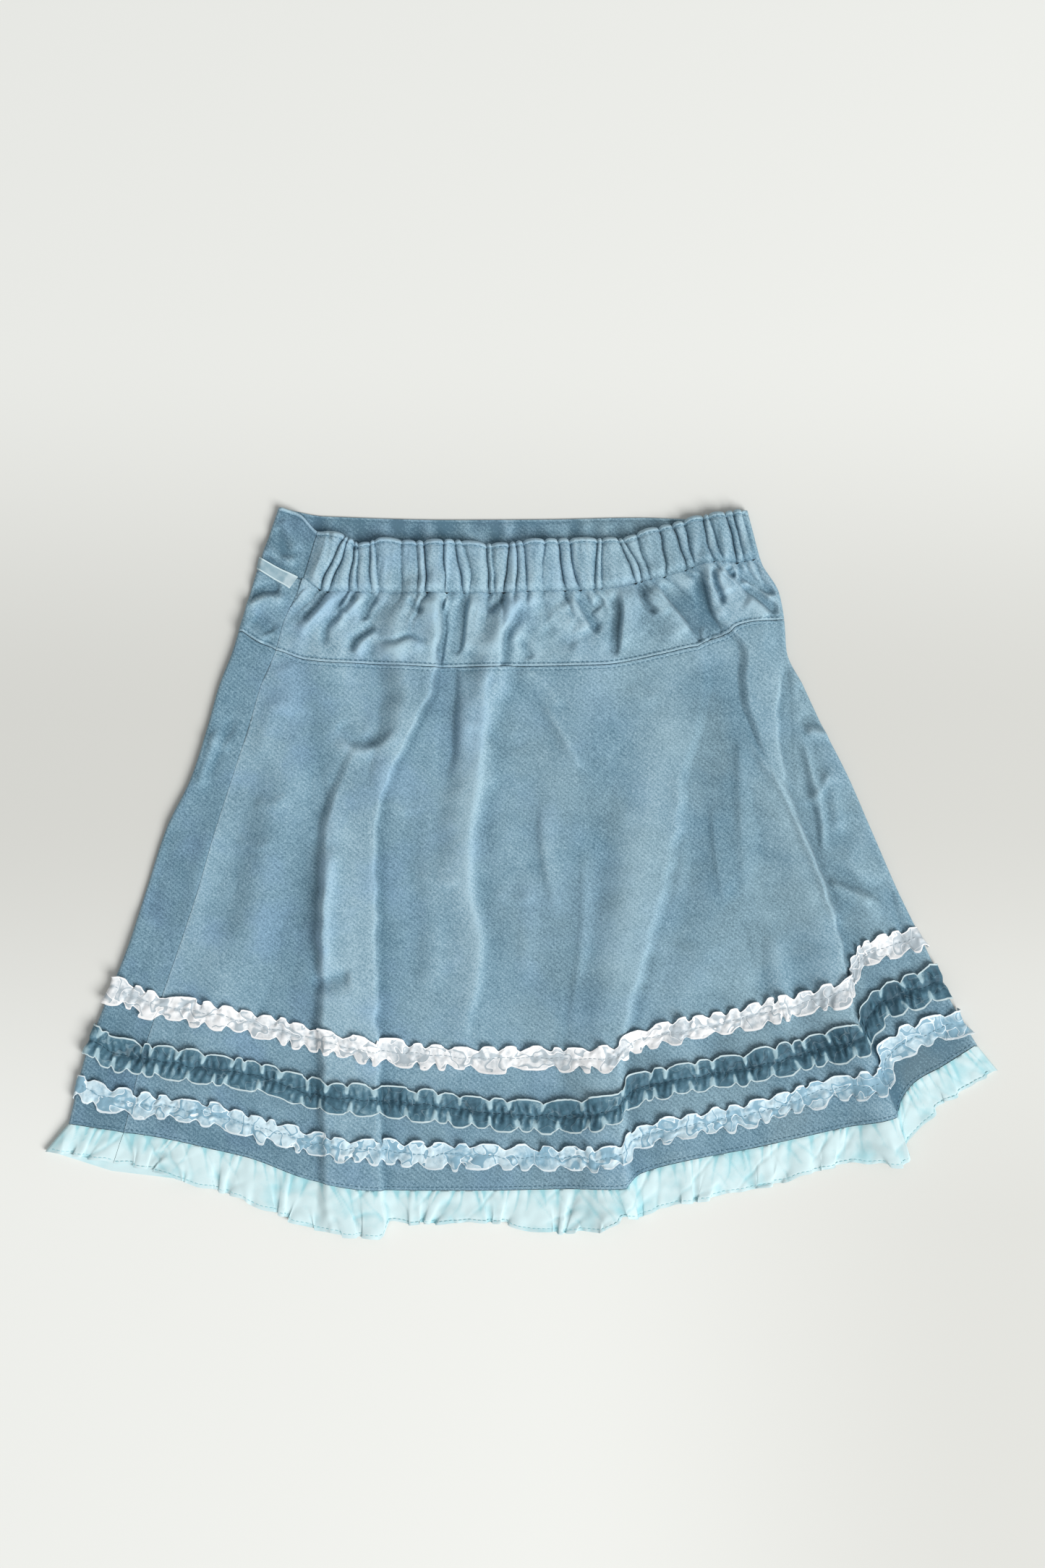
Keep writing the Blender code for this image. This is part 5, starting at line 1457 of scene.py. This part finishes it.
def rowAt(name, distance, fromEnd=False):
    # The row of a piece's upper run that lies the given distance from its top or bottom edge,
    # from left to right
    grid = rowsOf[name]
    sizes = np.linalg.norm(np.diff(grid[..., :2], axis=1), axis=-1).mean(0)
    down = np.concatenate([[0], np.cumsum(sizes)])
    line = grid[:, np.argmin(np.abs(down - (down[-1] - distance if fromEnd else distance)))]
    return line if line[0, 0] < line[-1, 0] else line[::-1]


def makeStitches(name, lines, material):
    # One small tapered tube for each stitch, laid along the lines at the thread's pitch: the
    # ring at share t stands at start + t * (end - start), radius from the taper table
    pairs = []
    for line in lines:
        run = runAlong(line)
        at = np.arange(0.6, run[-1] - thread["pitch"], thread["pitch"])
        pairs.append([np.stack([np.interp(at + step, run, line[:, k]) for k in range(3)], -1)
                      for step in (0, thread["length"])])
    start, end = (np.concatenate(part) for part in zip(*pairs))
    along = end - start
    side = np.cross(along, (0.0, 0.0, 1.0))
    side = side / np.linalg.norm(side, axis=1, keepdims=True)
    shares, taper = np.array(thread["taper"]).T
    turns = np.linspace(0, 2 * np.pi, thread["sides"] + 1)[:-1]
    ring = start[:, None, None] + shares[None, :, None, None] * along[:, None, None]
    size = (thread["radius"] * taper)[None, :, None, None]
    points = ring + size * (np.cos(turns)[None, None, :, None] * side[:, None, None]
                            + np.sin(turns)[None, None, :, None] * np.array([0.0, 0.0, 1.0]))
    points[..., 2] += thread["lift"] - thread["sink"] * (1 - taper)[None, :, None]
    index = np.arange(points[..., 0].size).reshape(points.shape[:3])
    nextOne = np.roll(index, -1, axis=2)
    tubes = np.stack([index[:, :-1], nextOne[:, :-1], nextOne[:, 1:], index[:, 1:]], -1).reshape(-1, 4)
    caps = index[:, 0, ::-1].tolist() + index[:, -1].tolist()
    piece = addPiece(name, points.reshape(-1, 3), tubes[:, ::-1].tolist() + caps)
    piece.data.shade_smooth()
    piece.data.materials.append(material)
    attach(piece, "root")
    print(name, "made:", len(start), "stitches")


tabPiece = makeTab(ribbonMaterial("paleVelvetTab", tabRibbon))
makeBands(corduroyMaterial("washedCorduroyBand", 0.03))
makeYokes(corduroyMaterial("washedCorduroyYoke", 0.06))
makePanels(corduroyMaterial("washedCorduroyPanel"))
for name, ribbon, finish, length in (
        ("white", whiteRibbon, "whiteVoileRibbon", 0.66),
        ("velvet", velvetRibbon, "tealVelvetRibbon", 0.70),
        ("blue", blueRibbon, "blueVoileRibbon", 0.68)):
    ribbonCloth = ribbonMaterial(finish, ribbon)
    makeRibbon(name, name, ribbon, ribbonCloth)
    makeUnderRibbon(name, name, ribbon, ribbonCloth)
makeFrills(cottonMaterial("aquaLawnCotton"))

sides = ("front", "back")
seamLines = [rowAt(side + part, *place) for part, *place in (
    ("_yoke", 1.6, True), ("_panel", 2.0), ("_panel", 1.4, True), ("_waistband", band["stitchDown"]))
    for side in sides]
makeStitches("seam_stitches", seamLines, threadMaterial("slatePolyesterThread", "#54788b"))
makeStitches("frill_stitches", [rowAt(side + "_hem_frill", frill["hemDown"], True) for side in sides],
             threadMaterial("aquaPolyesterThread", "#a4d3da"))
for name, finish, colour in (("white", "greyPolyesterThread", "#b3bfc6"),
                             ("velvet", "tealPolyesterThread", "#2b4a5a"),
                             ("blue", "bluePolyesterThread", "#7fa2b2")):
    middle = rowsOf[name + "_ruffle"][strip["rollPoints"]:-strip["rollPoints"], strip["columns"] // 2]
    makeStitches(name + "_ribbon_stitches", [middle], threadMaterial(finish, colour))

# The photo's view, straight above: mm for each photo pixel, the photo's height in pixels, the
# point of the drawing at its centre, and the lens
view = {"scale": 0.4, "frameHeight": 2168, "photoCentre": (-1.0, 49.2), "lens": 50.0, "sensor": 36.0}
camera = bpy.data.objects.new("camera", bpy.data.cameras.new("camera"))
bpy.context.scene.collection.objects.link(camera)
bpy.context.scene.camera = camera
camera.data.lens = view["lens"]
camera.data.sensor_width = view["sensor"]
distance = view["frameHeight"] * view["scale"] * view["lens"] / view["sensor"]
camera.location = (
    (view["photoCentre"][0] + frameShift[0]) / 1000,
    (view["photoCentre"][1] + frameShift[1]) / 1000,
    (distance + cloth["topRest"]) / 1000)

# The table: matt white paper, with painted shade: a little greyer level with the skirt than above and below
# it, and again towards the lower right, so the skirt stands out from it as in the photo
floor = {
    "size": 6.0, "depth": 0.0003,
    "colour": "#e4e5e1", "shade": "#cfcfca", "middle": 0.06, "from": 0.02, "to": 0.24,
    "right": (0.0, 0.28), "low": (-0.04, -0.2), "corner": 0.75,
}
half = floor["size"] / 2
floorMesh = bpy.data.meshes.new("floor")
floorMesh.from_pydata(
    [(-half, -half, 0), (half, -half, 0), (half, half, 0), (-half, half, 0)], [], [(0, 1, 2, 3)])
floorObject = bpy.data.objects.new("floor", floorMesh)
floorObject.location.z = -floor["depth"]
bpy.context.scene.collection.objects.link(floorObject)
paper = newMaterial("matteWhiteTable")
soft = {"interpolation_type": "SMOOTHSTEP"}
coords = addNode(paper, "TexCoord", output="Object")
x, y = (addNode(paper, "SeparateXYZ", None, {0: coords}, axis) for axis in ("X", "Y"))
away = addNode(paper, "Math", {"operation": "SUBTRACT"}, {0: y, 1: floor["middle"]})
away = addNode(paper, "Math", {"operation": "ABSOLUTE"}, {0: away})
share = addNode(paper, "MapRange", soft, {"Value": away, "From Min": floor["from"], "From Max": floor["to"]})
right, low = (addNode(paper, "MapRange", soft, {"Value": axis, "From Min": start, "From Max": stop})
              for axis, (start, stop) in ((x, floor["right"]), (y, floor["low"])))
corner = addNode(paper, "Math", {"operation": "MULTIPLY"}, {0: right, 1: low})
share = addNode(paper, "Math", {"operation": "MULTIPLY_ADD"}, {0: corner, 1: -floor["corner"], 2: share})
colour = addNode(paper, "Mix", {"data_type": "RGBA"}, {
    "Factor": share, 6: toLinear(floor["shade"]), 7: toLinear(floor["colour"])}, 2)
shader = addNode(paper, "BsdfPrincipled", None, {
    "Base Color": colour, "Roughness": 0.9, "Specular IOR Level": 0.1})
addNode(paper, "OutputMaterial", None, {"Surface": shader})
floorMesh.materials.append(paper)

light = {"keyPlace": (4.4, -3.6, 5.6), "keySize": 5.4, "keyPower": 690.0, "skyStrength": 0.42}
key = bpy.data.objects.new("key", bpy.data.lights.new("key", "AREA"))
key.data.shape = "DISK"
key.data.size = light["keySize"]
key.data.energy = light["keyPower"]
key.location = light["keyPlace"]
east, north, high = light["keyPlace"]
key.rotation_euler = (np.arctan2(np.hypot(east, north), high), 0, np.arctan2(east, -north))
bpy.context.scene.collection.objects.link(key)
world = bpy.data.worlds.new("softStudio")
world.use_nodes = True
world.node_tree.nodes["Background"].inputs["Color"].default_value = (1, 1, 1, 1)
world.node_tree.nodes["Background"].inputs["Strength"].default_value = light["skyStrength"]
bpy.context.scene.world = world
bpy.context.scene.view_settings.view_transform = "Standard"
